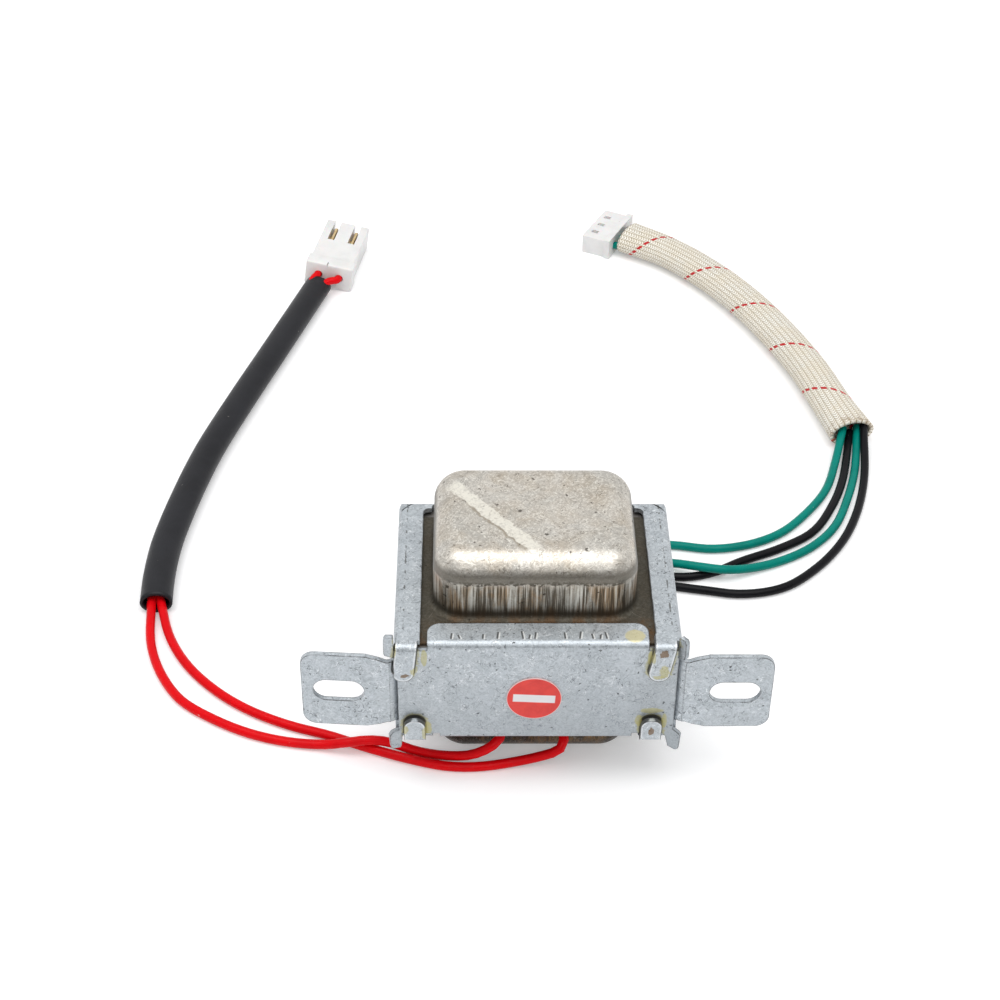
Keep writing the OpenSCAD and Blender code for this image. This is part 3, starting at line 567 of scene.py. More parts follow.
def coverSurface(name, finish, upward):
    material, tree, shader, place = newMaterial(name, Metallic=0.75, IOR=1.6)
    at = place["Object"]
    parts = parted(tree, at)
    levels = coverLevels["upper" if upward else "lower"]
    fall = between(tree, parts["Z"], *levels["fall"])       # 1 on the wall, 0 on the top
    foot = between(tree, parts["Z"], *levels["foot"])
    curl = useGroup(tree, curlGroup, {"Vector": at, "Scale": 1100.0})
    colour = blendColour(tree, curl["Cloud"], finish["base"], finish["warm"])
    cloud = noiseAt(tree, at, 150.0, 4.0, 0.62, 0.7)
    colour = blendColour(tree, between(tree, cloud, 0.36, 0.72, 0.0, 0.75), colour, finish["grey"])
    lightMask = between(tree, curl["Strokes"], 0.62, 1.0, 0.0, 0.55)
    darkMask = between(tree, curl["Strokes"], 0.36, 0.0, 0.0, 0.45)
    colour = blendColour(tree, lightMask, colour, (0.84, 0.81, 0.74))
    colour = blendColour(tree, darkMask, colour, (0.30, 0.27, 0.23))
    colour = layered(
        tree, colour, (curl["LightCurl"], 0.6, (0.90, 0.87, 0.80)),
        (curl["DarkCurl"], 0.7, (0.14, 0.12, 0.095)))
    # Draw marks run down the walls
    drawn = mapped(tree, at, scale=(2900, 2900, 80))
    lines = noiseAt(tree, drawn, 1.0, 2.5, 0.65, 0.0)
    lineMask = times(tree, between(tree, lines, 0.49, 0.57), fall)
    bright = times(tree, between(tree, lines, 0.45, 0.36), fall)
    rustCloud = noiseAt(tree, mapped(tree, at, scale=(330, 330, 120)), 1.0, 4.0, 0.65, 0.5)
    rustMask = times(tree, between(tree, rustCloud, 0.43, 0.62), fall)
    # the walls take a darker tone, partly rusted steel and partly painted shade
    colour = layered(
        tree, colour, (fall, 0.68, finish["wall"]),
        (rustMask, 0.62, finish["rust"]),
        (bright, 0.62, finish["bright"]),
        (lineMask, 0.85, finish["deep"]))
    if upward:      # a pitted seam runs along the front, at the foot of the drawn edge
        ragged = raggedEdge(tree, noiseAt(tree, at, 800.0, 3.0), 0.0014, parts["Z"])
        seam = times(tree, between(tree, offBy(tree, ragged, levels["seam"]), 0.00042, 0.0002),
                     between(tree, parts["Y"], -0.0095, -0.0104),
                     between(tree, noiseAt(tree, at, 1500.0, 2.0), 0.42, 0.52))
        colour = tinted(tree, colour, seam, 0.85, finish["pit"])
        # painted shade: a dark band across the lower part of the front's rounded edge, standing in for a dark
        # reflection
        paintedShadeBand = times(tree, *(between(tree, parts["Z"], *levels[k]) for k in ("bandTop", "bandFoot")))
        colour = tinted(tree, colour, paintedShadeBand, 0.86, (0.115, 0.105, 0.085))
    # painted shade and dark reflection: the flange at the foot, under the frame's lips, is darkened nearly to
    # black
    colour = tinted(tree, colour, foot, 0.93, finish["flangePaintedShade"])
    footRust = times(tree, foot, between(tree, parts["Y"], -0.0095, -0.0118),
                     between(tree, rustCloud, 0.40, 0.66, 0.1, 0.8))
    colour = blendColour(tree, footRust, colour, (0.115, 0.055, 0.018))
    pits = calc(tree, "MAXIMUM", pitMask(tree, at, 520.0, 0.22, 0.6), pitMask(tree, at, 1300.0, 0.27, 0.22))
    scratches = scratchMask(tree, mapped(tree, at, turn=(0, 0, 0.7)), 150.0, 2300.0, 0.70)
    crossed = scratchMask(tree, mapped(tree, at, turn=(0, 0, -1.1)), 210.0, 2500.0, 0.71)
    scratches = calc(tree, "MAXIMUM", scratches, crossed)
    colour = layered(
        tree, colour, (scratches, 0.45, (0.25, 0.225, 0.19)),
        (pits, 0.8, finish["pit"]))
    if upward:
        colour = scrapeOver(tree, at, parts, colour, finish)
    rough = 0.26
    for mask, more in ((cloud, 0.22), (foot, 0.2), (pits, 0.25)):
        rough = timesPlus(tree, mask, more, rough)
    height = calc(tree, "SUBTRACT", times(tree, curl["Strokes"], 0.4), pits)
    height = calc(tree, "SUBTRACT", height, times(tree, lineMask, 0.8))
    return finished(material, tree, shader, colour, rough, height, 0.4, 0.00008)


scrapeSet = {"from": (-13.4, 9.0), "to": (-0.3, -7.2), "half": 1.15}


def scrapeOver(tree, at, parts, colour, finish):
    x0, y0 = (v * mm for v in scrapeSet["from"])
    x1, y1 = (v * mm for v in scrapeSet["to"])
    run = math.hypot(x1 - x0, y1 - y0)
    ux, uy = (x1 - x0) / run, (y1 - y0) / run
    dx = calc(tree, "SUBTRACT", parts["X"], x0)
    dy = calc(tree, "SUBTRACT", parts["Y"], y0)
    along = timesPlus(tree, dx, ux, times(tree, dy, uy))
    side = timesPlus(tree, dx, -uy, times(tree, dy, ux))
    rag = noiseAt(tree, at, 420.0, 3.0, 0.6, 0.4)
    side = raggedEdge(tree, rag, 0.0017, side)
    half = scrapeSet["half"] * mm
    grain = noiseAt(tree, at, 1500.0, 3.0, 0.65, 1.0)
    body = times(tree, between(tree, calc(tree, "ABSOLUTE", side), half * 1.06, half * 0.8),
                 between(tree, along, -0.0006, 0.0008), between(tree, along, run + 0.0008, run - 0.0008),
                 between(tree, grain, 0.30, 0.55, 0.25, 0.85))
    shade = times(tree, between(tree, offBy(tree, side, half * -1.15), 0.0003, 0.0001),
                  between(tree, along, 0.005, 0.007), between(tree, along, run, run - 0.002))
    colour = tinted(tree, colour, shade, 0.55, (0.26, 0.21, 0.14))
    return blendColour(tree, body, colour, finish["scrape"])


upperSteel = coverSurface("upperCoverSteel", coverFinish, True)
# the lower cover below the plate takes a much darker copy of the cover finish: painted shade, with some rust
lowerShadedFinish = dict(coverFinish, base=(0.05, 0.04, 0.03), warm=(0.04, 0.03, 0.02), grey=(0.05, 0.04, 0.035),
                   bright=(0.12, 0.10, 0.08), wall=(0.022, 0.014, 0.008))
lowerShadedSteel = coverSurface("lowerCoverShadedSteel", lowerShadedFinish, False)
upperPiece = cadCopy("upper_cover", "upperCover", 0.00008, 2)
dress(upperPiece, upperSteel)
lowerPiece = cadCopy("lower_cover", "lowerCover", 0.00008, 2)
dress(lowerPiece, lowerShadedSteel)
print("covers dressed")

# Cords

routes = {
    "redA": [
        (4.6, -9, 5.4), (4.8, -11.8, 5.1), (4.6, -12.9, 4.3), (3.3, -13.2, 3.2),
        (1, -13.2, 2.2), (-3, -13.4, 1.2), (-8.7, -14.1, 0.8), (-14, -14, 0.8),
        (-20, -12.4, 0.8), (-27, -9.8, 0.8), (-33.2, -7.1, 0.8), (-40, -4.7, 0.8),
        (-47, -1.1, 0.8), (-53, 3.6, 0.8), (-58.5, 10, 0.8), (-62.2, 17, 1),
        (-64.2, 23.7, 1.8)],
    "redB": [
        (-5.2, -9, 5.4), (-5.4, -11.9, 5.3), (-6.4, -13, 4.8), (-8, -13.1, 3.5),
        (-10.4, -12.9, 2.2), (-14.5, -12, 1.2), (-19, -10.7, 0.9), (-23.3, -9.8, 2),
        (-26.6, -9.9, 2.6), (-30, -10, 2.2), (-34, -9.4, 1.1), (-40, -8.5, 0.8),
        (-46.5, -6.5, 0.8), (-53, -3, 0.8), (-58.5, 1.3, 0.8), (-62.7, 8, 0.8),
        (-65.2, 15.5, 0.9), (-66, 23.7, 1.9)],
    "greenA": [
        (-4.5, 9.9, 5.4), (-4.5, 16, 5.2), (-3.2, 22, 3), (2, 31, 1),
        (9, 37.5, 0.8), (17, 41.2, 0.8), (26.4, 41.6, 0.8), (34, 40.5, 0.8),
        (41, 41.8, 0.8), (47, 45, 0.8), (52.5, 50.8, 0.8), (57.3, 58.1, 0.8),
        (60.1, 66, 1.2), (61.9, 72, 2.6)],
    "greenB": [
        (-1.5, 9.9, 5.4), (-1.5, 16, 5.2), (0, 21.5, 3), (4.5, 28, 1),
        (11, 33.6, 0.8), (19, 36.6, 0.8), (26.3, 35.4, 1.7), (30.8, 33.4, 2.6),
        (35.5, 32.9, 2.3), (40.3, 34.6, 1.2), (46, 37, 0.8), (52, 40.8, 0.8),
        (57.2, 46.7, 0.8), (61, 55.4, 0.8), (63.7, 64.3, 0.9), (65.2, 72.9, 2.3)],
    "blackA": [
        (1.5, 9.9, 5.4), (1.5, 16, 5.2), (3, 20.8, 3), (7, 26, 1),
        (13, 30.8, 0.8), (20, 33.2, 0.8), (28.5, 32.6, 0.8), (33.8, 34, 0.8),
        (39, 37, 0.8), (46.4, 40.6, 0.8), (53, 45.3, 0.8), (57.8, 53.2, 0.8),
        (61, 61.5, 0.8), (63.6, 72.5, 1.6)],
    "blackB": [
        (4.5, 9.9, 5.4), (4.5, 16, 5.2), (6, 20, 3), (10, 24.2, 1),
        (16, 28.4, 0.8), (23, 30.3, 0.8), (31, 29.1, 0.8), (38, 28, 0.8),
        (45.5, 29.6, 0.8), (52, 34.7, 0.8), (58, 42.4, 0.8), (62.2, 51.4, 0.8),
        (65.2, 62.2, 1), (66.5, 73.2, 3.3)],
    "blackSleeve": [
        (-65.2, 24, 2.5), (-65.5, 31, 2.5), (-65.2, 40, 2.5), (-63.3, 53.5, 2.5),
        (-60.4, 68, 2.5), (-55.8, 84.5, 2.5), (-50.5, 102.1, 2.5), (-42.9, 127.4, 2.5)],
    "braidSleeve": [
        (64.2, 73.2, 3.5), (61.8, 82, 3.5), (58.5, 95, 3.5), (53.8, 108, 3.5),
        (48, 120.3, 3.5), (41.5, 130.6, 3.5), (33.5, 139.8, 3.5), (25.1, 146.1, 3.5)],
    "blackStub": [(27.6, 147.4, 3.2), (26.7, 148.4, 3.0), (25.8, 149.7, 2.3), (24.9, 150.3, 2.1)],
    "greenStubA": [(26.2, 145.6, 3.2), (25.2, 146.2, 3.0), (24.3, 146.8, 2.3), (23.2, 147.3, 2.1)],
    "greenStubB": [(24.9, 143.2, 3.2), (24.0, 143.6, 3.0), (22.9, 143.8, 2.3), (21.8, 144.3, 2.1)],
    "redStubA": [(-44.5, 126.2, 3.2), (-43.9, 127.6, 3.7), (-43.2, 128.8, 3.85), (-42.8, 130.3, 3.85)],
    "redStubB": [(-42.3, 125.6, 3.0), (-40.6, 126.9, 3.4), (-38.9, 127.7, 3.3), (-38.3, 129.6, 3.2)],
}


def smoothRoute(points, perSpan):
    points = [Vector(p) * mm for p in points]
    ends = [points[0] * 2 - points[1]] + points + [points[-1] * 2 - points[-2]]
    out = []
    for i in range(1, len(ends) - 2):
        a, b, c, d = ends[i - 1:i + 3]
        knots = [0.0]
        for p, q in ((a, b), (b, c), (c, d)):
            knots.append(knots[-1] + max((q - p).length, 1e-6) ** 0.5)
        for k in range(perSpan):
            t = knots[1] + (knots[2] - knots[1]) * k / perSpan
            one = [a.lerp(b, (t - knots[0]) / (knots[1] - knots[0])),
                   b.lerp(c, (t - knots[1]) / (knots[2] - knots[1])),
                   c.lerp(d, (t - knots[2]) / (knots[3] - knots[2]))]
            two = [one[0].lerp(one[1], (t - knots[0]) / (knots[2] - knots[0])),
                   one[1].lerp(one[2], (t - knots[1]) / (knots[3] - knots[1]))]
            out.append(two[0].lerp(two[1], (t - knots[1]) / (knots[2] - knots[1])))
    out.append(points[-1])
    return out


def routeLength(points):
    return sum((b - a).length for a, b in zip(points, points[1:]))


def evenRoute(points, spacing):
    total = routeLength(points)
    count = max(2, round(total / spacing))
    marks, run, i = [], 0.0, 0
    for k in range(count + 1):
        want = total * k / count
        while i < len(points) - 2 and run + (points[i + 1] - points[i]).length < want:
            run += (points[i + 1] - points[i]).length
            i += 1
        span = (points[i + 1] - points[i]).length
        marks.append(points[i].lerp(points[i + 1], min(1.0, (want - run) / span)))
    return marks


def makeLead(name, route, node, material, slotName):
    diameter = leadSet["diameter"]
    line = evenRoute(smoothRoute(routes[route], 6), leadSet["spacing"])
    ahead = (line[-1] - line[-3]).normalized()
    line.append(line[-1] + ahead * leadSet["tail"])     # on into the sleeve's mouth
    data = bpy.data.curves.new(name, "CURVE")
    data.dimensions = "3D"
    data.bevel_depth = 1.0      # scaled at each point, so that the bounds stay true
    data.bevel_resolution = 5
    data.use_fill_caps = True
    spline = data.splines.new("POLY")
    spline.points.add(len(line) - 1)
    for point, place in zip(spline.points, line):
        point.co = (*place, 1)
        point.radius = diameter / 2
    spline.use_smooth = True
    piece = newObject(name, data)
    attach(piece, "root")
    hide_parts(node)
    dress(piece, material)


leadFinish = {
    "cloud": (260.0, 3.0, 0.6, 0.3),
    "share": 0.5,
    "specks": (900.0, 0.14, 0.1, 0.3, (0.7, 0.66, 0.6)),
    "grain": (1400.0, 2.0),
    "bump": (0.12, 0.00004),
}


def leadSurface(name, base, shade, rough):
    finish = dict(leadFinish, base=base, shade=shade, rough=(rough, rough + 0.12))
    return cloudedSurface(name, finish, IOR=1.45, Specular_IOR_Level=0.14)


redLead = leadSurface("redLead", (0.74, 0.002, 0.006), (0.60, 0.001, 0.004), 0.24)
greenLead = leadSurface("greenLead", (0.0, 0.225, 0.180), (0.0, 0.160, 0.130), 0.24)
blackLead = leadSurface("blackLead", (0.0045, 0.0045, 0.006), (0.009, 0.009, 0.011), 0.26)

leadSet = {"diameter": 1.6 * mm, "tail": 2.6 * mm, "spacing": 1.6 * mm}
leadList = [
    ("redLeadA", "redA", "red_lead_a", redLead, "red_insulation"),
    ("redLeadB", "redB", "red_lead_b", redLead, "red_insulation"),
    ("greenLeadA", "greenA", "green_lead_a", greenLead, "green_insulation"),
    ("greenLeadB", "greenB", "green_lead_b", greenLead, "green_insulation"),
    ("blackLeadA", "blackA", "black_lead_a", blackLead, "black_insulation"),
    ("blackLeadB", "blackB", "black_lead_b", blackLead, "black_insulation"),
]
for lead in leadList:
    makeLead(*lead)
print("leads laid")


flareRuns = (10 * mm, 12 * mm)      # the lengths over which a sleeve's two ends widen


def tubeAlong(name, line, widths, sides, wall, flare):
    bm = bmesh.new()
    uv = bm.loops.layers.uv.new("wrap")
    start = bmesh.ops.create_circle(bm, segments=sides, radius=1.0)["verts"]
    ring = list(start)
    where = {}
    up = Vector((0, 0, 1))
    run = 0.0
    whole = routeLength(line)

    def ringFrame(i):
        ahead = (line[min(i + 1, len(line) - 1)] - line[max(i - 1, 0)]).normalized()
        side = ahead.cross(up).normalized()
        return side, side.cross(ahead)

    def settle(verts, i):
        side, above = ringFrame(i)
        for k, vert in enumerate(verts):
            turn = 2 * math.pi * k / sides
            spread = max(0.0, 1 - run / flareRuns[0], 1 - (whole - run) / flareRuns[1])
            wide = widths[0] * (1 + flare * spread)
            vert.co = line[i] + side * math.cos(turn) * wide + above * math.sin(turn) * widths[1]
            where[vert] = (run, k)

    settle(ring, 0)
    for i in range(1, len(line)):
        run += (line[i] - line[i - 1]).length
        lines = [bm.edges.get((ring[k], ring[(k + 1) % sides])) for k in range(sides)]
        grown = bmesh.ops.extrude_edge_only(bm, edges=lines)["geom"]
        fresh = {v for v in grown if isinstance(v, bmesh.types.BMVert)}
        following = []
        for vert in ring:
            following.append(next(e.other_vert(vert) for e in vert.link_edges if e.other_vert(vert) in fresh))
        settle(following, i)
        ring = following
    for face in bm.faces:
        face.smooth = True
        columns = [where[loop.vert][1] for loop in face.loops]
        seam = max(columns) - min(columns) > 1
        for loop in face.loops:
            along, k = where[loop.vert]
            loop[uv].uv = (along * 100, (sides if seam and k == 0 else k) / sides)
    piece = meshFrom(bm, name)
    thick = piece.modifiers.new("wall", "SOLIDIFY")
    thick.thickness = wall
    thick.offset = -1
    thick.use_even_offset = True
    return piece


blackSleeveSet = {
    "radius": 2.5 * mm, "flat": (2.85 * mm, 2.2 * mm), "drop": 0.3 * mm, "wall": 0.55 * mm,
    "sides": 48, "spacing": 0.8 * mm, "flare": 0.0,
}
braidSet = {
    "radius": 3.5 * mm, "flat": (4.05 * mm, 2.95 * mm), "drop": 0.5 * mm, "wall": 0.75 * mm,
    "sides": 96, "spacing": 0.45 * mm, "flare": 0.14,
    "columns": 22, "pick": 0.62 * mm, "slant": 1.5, "tracerPitch": 16.4 * mm,
}


def blackSleeveSurface():
    material, tree, shader, place = newMaterial("blackSleeving", IOR=1.45, Specular_IOR_Level=0.3)
    at = place["Object"]
    cloud, tone, rough = cloudy(tree, at, (130.0, 4.0, 0.6, 0.4), (0.0060, 0.0064, 0.0090),
                                (0.0125, 0.0130, 0.0165), (0.38, 0.52))
    dust = pitMask(tree, at, 600.0, 0.14, 0.14)
    tone = tinted(tree, tone, dust, 0.35, (0.30, 0.28, 0.26))
    drawn = noiseAt(tree, mapped(tree, place["UV"], scale=(6, 90, 1)), 1.0, 2.0)
    return finished(material, tree, shader, tone, rough, timesPlus(tree, drawn, 0.4, cloud), 0.35, 0.0002)


def braidSurface(settings):
    material, tree, shader, place = newMaterial("glassBraid", IOR=1.5, Sheen_Weight=0.12, Sheen_Roughness=0.5)
    split = parted(tree, place["UV"])
    along, around = split["X"], split["Y"]       # along in 10 mm units, around 0 to 1
    columns = times(tree, around, settings["columns"])
    border = calc(tree, "PINGPONG", columns, 0.5)
    picks = times(tree, along, 10 * mm / settings["pick"])
    stitch = timesPlus(tree, border, settings["slant"], picks)      # a chevron across each column

    def ridge(value):
        return times(tree, calc(tree, "PINGPONG", value, 0.5), 2.0)

    yarn = between(tree, ridge(stitch), 0.0, 0.55)
    rib = between(tree, border, 0.0, 0.22)
    weave = times(tree, yarn, rib)
    cloud = noiseAt(tree, place["Object"], 180.0, 3.0, 0.6, 0.3)
    tone = blendColour(tree, between(tree, cloud, 0.3, 0.7), (0.95, 0.89, 0.77), (0.97, 0.945, 0.87))
    # painted shade between the stitches and between the columns
    tone = blendColour(tree, between(tree, yarn, 0.75, 0.0, 0.0, 0.85), tone, (0.42, 0.31, 0.15))
    tone = blendColour(tree, between(tree, rib, 0.6, 0.0, 0.0, 0.6), tone, (0.42, 0.32, 0.17))
    # one red tracer yarn, showing where its strand passes over
    pitch = settings["tracerPitch"] / 0.01
    spiral = timesPlus(tree, along, -1.0 / pitch, around)
    spiral = calc(tree, "ADD", spiral, 0.92)
    offset = calc(tree, "ABSOLUTE", calc(tree, "SUBTRACT", calc(tree, "FRACT", spiral, 0), 0.5))
    onLine = between(tree, offset, 0.027, 0.020)
    dashes = between(tree, ridge(times(tree, around, 15.0)), 0.30, 0.40)
    tracer = times(tree, onLine, dashes)
    tone = blendColour(tree, tracer, tone, (0.60, 0.003, 0.005))
    dirt = between(tree, noiseAt(tree, place["Object"], 900.0, 3.0), 0.4, 0.62, 0.0, 0.6)
    endDirt = times(tree, between(tree, along, 0.28, 0.02), dirt)
    tone = blendColour(tree, endDirt, tone, (0.30, 0.19, 0.09))
    rough = between(tree, weave, 0.0, 0.8, 0.85, 0.55)
    height = timesPlus(tree, yarn, 0.22, weave)
    return finished(material, tree, shader, tone, rough, height, 0.7, 0.00030)


def laySleeve(name, route, settings, node, material):
    down = Vector((0, 0, settings["drop"]))
    line = [p - down for p in evenRoute(smoothRoute(routes[route], 16), settings["spacing"])]
    piece = tubeAlong(name, line, settings["flat"], settings["sides"], settings["wall"], settings["flare"])
    dress(piece, material)
    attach(piece, "root")
    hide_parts(node)


# Housings and contacts

nylonFinish = {
    "base": (0.80, 0.795, 0.785),
    "shade": (0.70, 0.695, 0.69),
    "cloud": (240.0, 3.0, 0.6, 0.2),
    "share": 0.7,
    "specks": (800.0, 0.13, 0.12, 0.5, (0.30, 0.27, 0.22)),
    "rough": (0.32, 0.44),
    "grain": (700.0, 3.0, 0.6),
    "bump": (0.18, 0.00008),
}
brassFinish = {
    "base": (0.80, 0.62, 0.36),
    "shade": (0.62, 0.45, 0.22),
    "cloud": (900.0, 3.0, 0.6, 0.4),
    "rough": (0.28, 0.43),
    "grain": (2700.0, 2.0),
    "bump": (0.2, 0.00003),
}
tinFinish = dict(brassFinish, base=(0.96, 0.96, 0.96), shade=(0.90, 0.90, 0.90), rough=(0.6, 0.75))

nylonWhite = cloudedSurface("nylonWhite", nylonFinish, IOR=1.53, Subsurface_Weight=0.12,
                            Subsurface_Scale=0.0012, Coat_Weight=0.1, Coat_Roughness=0.25)
contactBrass = cloudedSurface("contactBrass", brassFinish, Metallic=1.0)
contactTin = cloudedSurface("contactTin", tinFinish, Metallic=0.0)

twoWaySet = {
    "size": (9.4, 18.0, 5.6), "collar": (10.4, 3.4, 5.6), "place": (-39.5, 137.7), "turn": -10.6, "roll": 8.0,
    "pitch": 4.5, "slotWide": 1.5, "slotFrom": 1.2, "slotFloor": 2.4, "notchFrom": 7.6, "notchWide": 1.35,
    "ledge": 4.4, "wireHole": 0.92, "wireUp": 2.9, "mark": (0.28, 1.1, 0.5), "markAcross": -0.5, "edge": 0.28,
    "bodyBack": 0.5,                # the body starts this far inside the collar
    "collarRise": 0.12,
    "collarEdge": 1.3,              # times the body's rounded edge
    "web": 0.4,                     # stands between each window and its notch
    "ledgeReach": (-0.9, 0.5),      # the ledge's two ends, from the notch's start
}


def twoWayFrame(settings):
    lift = settings["size"][0] / 2 * math.sin(math.radians(settings["roll"]))
    x, y = settings["place"]
    return (Matrix.Scale(mm, 4) @ Matrix.Translation((x, y, lift)) @ Matrix.Rotation(
        math.radians(settings["turn"]), 4, "Z") @ Matrix.Rotation(math.radians(settings["roll"]), 4, "Y"))


def addBlock(bm, low, high):
    centre = [(a + b) / 2 for a, b in zip(low, high)]
    spread = [b - a for a, b in zip(low, high)]
    bmesh.ops.create_cube(bm, size=1.0, matrix=Matrix.Translation(centre) @ Matrix.Diagonal((*spread, 1)))


def combined(body, tool, way):
    change = body.modifiers.new("join", "BOOLEAN")
    change.operation = way
    change.solver = "EXACT"
    change.use_self = True
    change.object = tool
    bpy.context.view_layer.update()
    ready = bpy.data.meshes.new_from_object(body.evaluated_get(bpy.context.evaluated_depsgraph_get()))
    body.modifiers.clear()
    old, body.data = body.data, ready
    bpy.data.meshes.remove(old)
    spare = tool.data
    bpy.data.objects.remove(tool)
    bpy.data.meshes.remove(spare)


def makeTwoHousing(settings):
    wide, long, high = settings["size"]
    bm = bmesh.new()
    addBlock(bm, (-wide / 2, -long / 2 + settings["bodyBack"], 0), (wide / 2, long / 2, high))
    roundEdges(bm, bm.edges[:], settings["edge"])
    body = meshFrom(bm, "twoWayHousing")
    bm = bmesh.new()
    collarWide, collarLong, collarHigh = settings["collar"]
    addBlock(bm, (-collarWide / 2, -long / 2, 0),
             (collarWide / 2, -long / 2 + collarLong, collarHigh + settings["collarRise"]))
    roundEdges(bm, bm.edges[:], settings["edge"] * settings["collarEdge"])
    combined(body, meshFrom(bm, "collar"), "UNION")
    bm = bmesh.new()
    notch, ledge = settings["notchFrom"], settings["ledgeReach"]
    for way in (-1, 1):     # each cutter ends at a height of its own, so that no two faces coincide
        x = way * settings["pitch"] / 2
        half = settings["slotWide"] / 2
        addBlock(bm, (x - half, settings["slotFrom"], settings["slotFloor"]),
                 (x + half, notch - settings["web"], high + 1))
        half = settings["notchWide"] / 2
        addBlock(bm, (x - half, notch, -1), (x + half, long / 2 + 1, high + 1.3))
        addBlock(bm, (x - half, notch + ledge[0], settings["ledge"]),
                 (x + half, notch + ledge[1], high + 1.2))
        across = Matrix.Translation((x, -long / 2 + 2, settings["wireUp"])) @ Matrix.Rotation(
            math.pi / 2, 4, "X")
        bmesh.ops.create_cone(bm, cap_ends=True, segments=32, radius1=settings["wireHole"],
                              radius2=settings["wireHole"], depth=5.0, matrix=across)
    markWide, markLong, markDeep = settings["mark"]
    middle = settings["markAcross"]
    addBlock(bm, (middle - markWide / 2, -long / 2 - 0.2, high - markDeep),
             (middle + markWide / 2, -long / 2 + markLong, high + 0.6))
    combined(body, meshFrom(bm, "cutters"), "DIFFERENCE")
    bm = bmesh.new()
    bm.from_mesh(body.data)
    bmesh.ops.transform(bm, matrix=twoWayFrame(settings), verts=bm.verts)
    softFaces(bm, 35)
    bm.to_mesh(body.data)
    bm.free()
    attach(body, "root")
    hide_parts("two_way_housing")
    return body


springSet = {"wide": 0.6, "from": 1.45, "to": 6.7, "low": 3.0, "top": 5.25, "aside": 0.12, "edge": 0.2}


def makeSprings(settings, seat):
    bm = bmesh.new()
    for way in (-1, 1):
        x = way * seat["pitch"] / 2 + settings["aside"]
        half = settings["wide"] / 2
        addBlock(bm, (x - half, settings["from"], settings["low"]),
                 (x + half, settings["to"], settings["top"]))
    tips = [e for e in bm.edges if all(v.co.z > settings["top"] - 0.1 for v in e.verts)]
    roundEdges(bm, tips, settings["edge"])
    bmesh.ops.transform(bm, matrix=twoWayFrame(seat), verts=bm.verts)
    made = meshFrom(bm, "contactSprings")
    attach(made, "root")
    dress(made, contactBrass)
    return made


twoHousing = makeTwoHousing(twoWaySet)
dress(twoHousing, nylonWhite)
springs = makeSprings(springSet, twoWaySet)
threeHousing = cadCopy("three_way_housing", "threeWayHousing", 0.00012, 3)
dress(threeHousing, nylonWhite)
dress(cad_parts["two_way_contacts"], contactBrass)
dress(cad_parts["three_way_contacts"], contactTin)


stubSet = {"spacing": 0.2 * mm, "sides": 24, "wall": 0.4 * mm}


def makeStub(name, material):
    radius = leadSet["diameter"] / 2
    line = evenRoute(smoothRoute(routes[name], 8), stubSet["spacing"])
    piece = tubeAlong(name, line, (radius, radius), stubSet["sides"], stubSet["wall"], 0.0)
    dress(piece, material)
    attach(piece, "root")
    return piece


twoStubs = [makeStub(name, redLead) for name in ("redStubA", "redStubB")]
threeStubs = [makeStub("blackStub", blackLead)] + [
    makeStub(name, greenLead) for name in ("greenStubA", "greenStubB")]
laySleeve("blackSleeve", "blackSleeve", blackSleeveSet, "black_sleeve", blackSleeveSurface())
laySleeve("braidedSleeve", "braidSleeve", braidSet, "braided_sleeve", braidSurface(braidSet))
print("sleeves and housings dressed")

# Core, coil and seal


def laminatedSurface(name, base, gap, sheet):
    material, tree, shader, place = newMaterial(name, Metallic=0.85, IOR=1.6)
    at = place["Object"]
    level = parted(tree, at)["Z"]
    stack = calc(tree, "PINGPONG", times(tree, level, 1.0 / sheet), 0.5)
    seam = between(tree, stack, 0.10, 0.02)
    shade = tuple(v * 0.6 for v in base)
    tone, rough = cloudy(tree, at, (300.0, 4.0, 0.6, 0.4), base, shade, (0.4, 0.6))[1:]
    tone = tinted(tree, tone, seam, 0.9, gap)
    return finished(material, tree, shader, tone, rough, calc(tree, "SUBTRACT", 1.0, seam), 0.7, 0.00008)


def windingSurface(name, base, wire):
    material, tree, shader, place = newMaterial(name, Metallic=0.8, Coat_Weight=0.5, Coat_Roughness=0.15)
    at = place["Object"]
    along = parted(tree, at)["Y"]
    turn = calc(tree, "PINGPONG", times(tree, along, 1.0 / wire), 0.5)
    shade = tuple(v * 0.7 for v in base)
    tone, rough = cloudy(tree, at, (400.0, 3.0, 0.6, 0.4), base, shade, (0.28, 0.42))[1:]
    tone = blendColour(tree, between(tree, turn, 0.14, 0.0, 0.0, 0.8), tone, (0.06, 0.02, 0.008))
    return finished(material, tree, shader, tone, rough, between(tree, turn, 0.0, 0.4), 0.8, 0.00012)


def tapeSurface(name, base, other):
    material, tree, shader, place = newMaterial(name, IOR=1.48, Coat_Weight=0.25, Coat_Roughness=0.2)
    at = place["Object"]
    cloud = noiseAt(tree, at, 260.0, 4.0, 0.6, 0.6)
    wrap = noiseAt(tree, mapped(tree, at, scale=(60, 1500, 60)), 1.0, 3.0, 0.5)
    tone = blendColour(tree, between(tree, cloud, 0.35, 0.7), base, other)
    rough = between(tree, wrap, 0.3, 0.7, 0.3, 0.5)
    return finished(material, tree, shader, tone, rough, calc(tree, "ADD", wrap, cloud), 0.35, 0.00015)


bobbinFinish = {
    "base": (0.66, 0.62, 0.50),
    "shade": (0.55, 0.50, 0.38),
    "cloud": (220.0, 3.0, 0.6, 0.3),
    "rough": (0.36, 0.5),
    "grain": (900.0, 3.0),
    "bump": (0.2, 0.0001),
}

sealSet = {
    "centre": (-0.45, 19.25), "radius": 4.25, "rim": 0.07,
    "bar": (6.5, 1.55), "barUp": 0.02, "turn": 3.0,
}


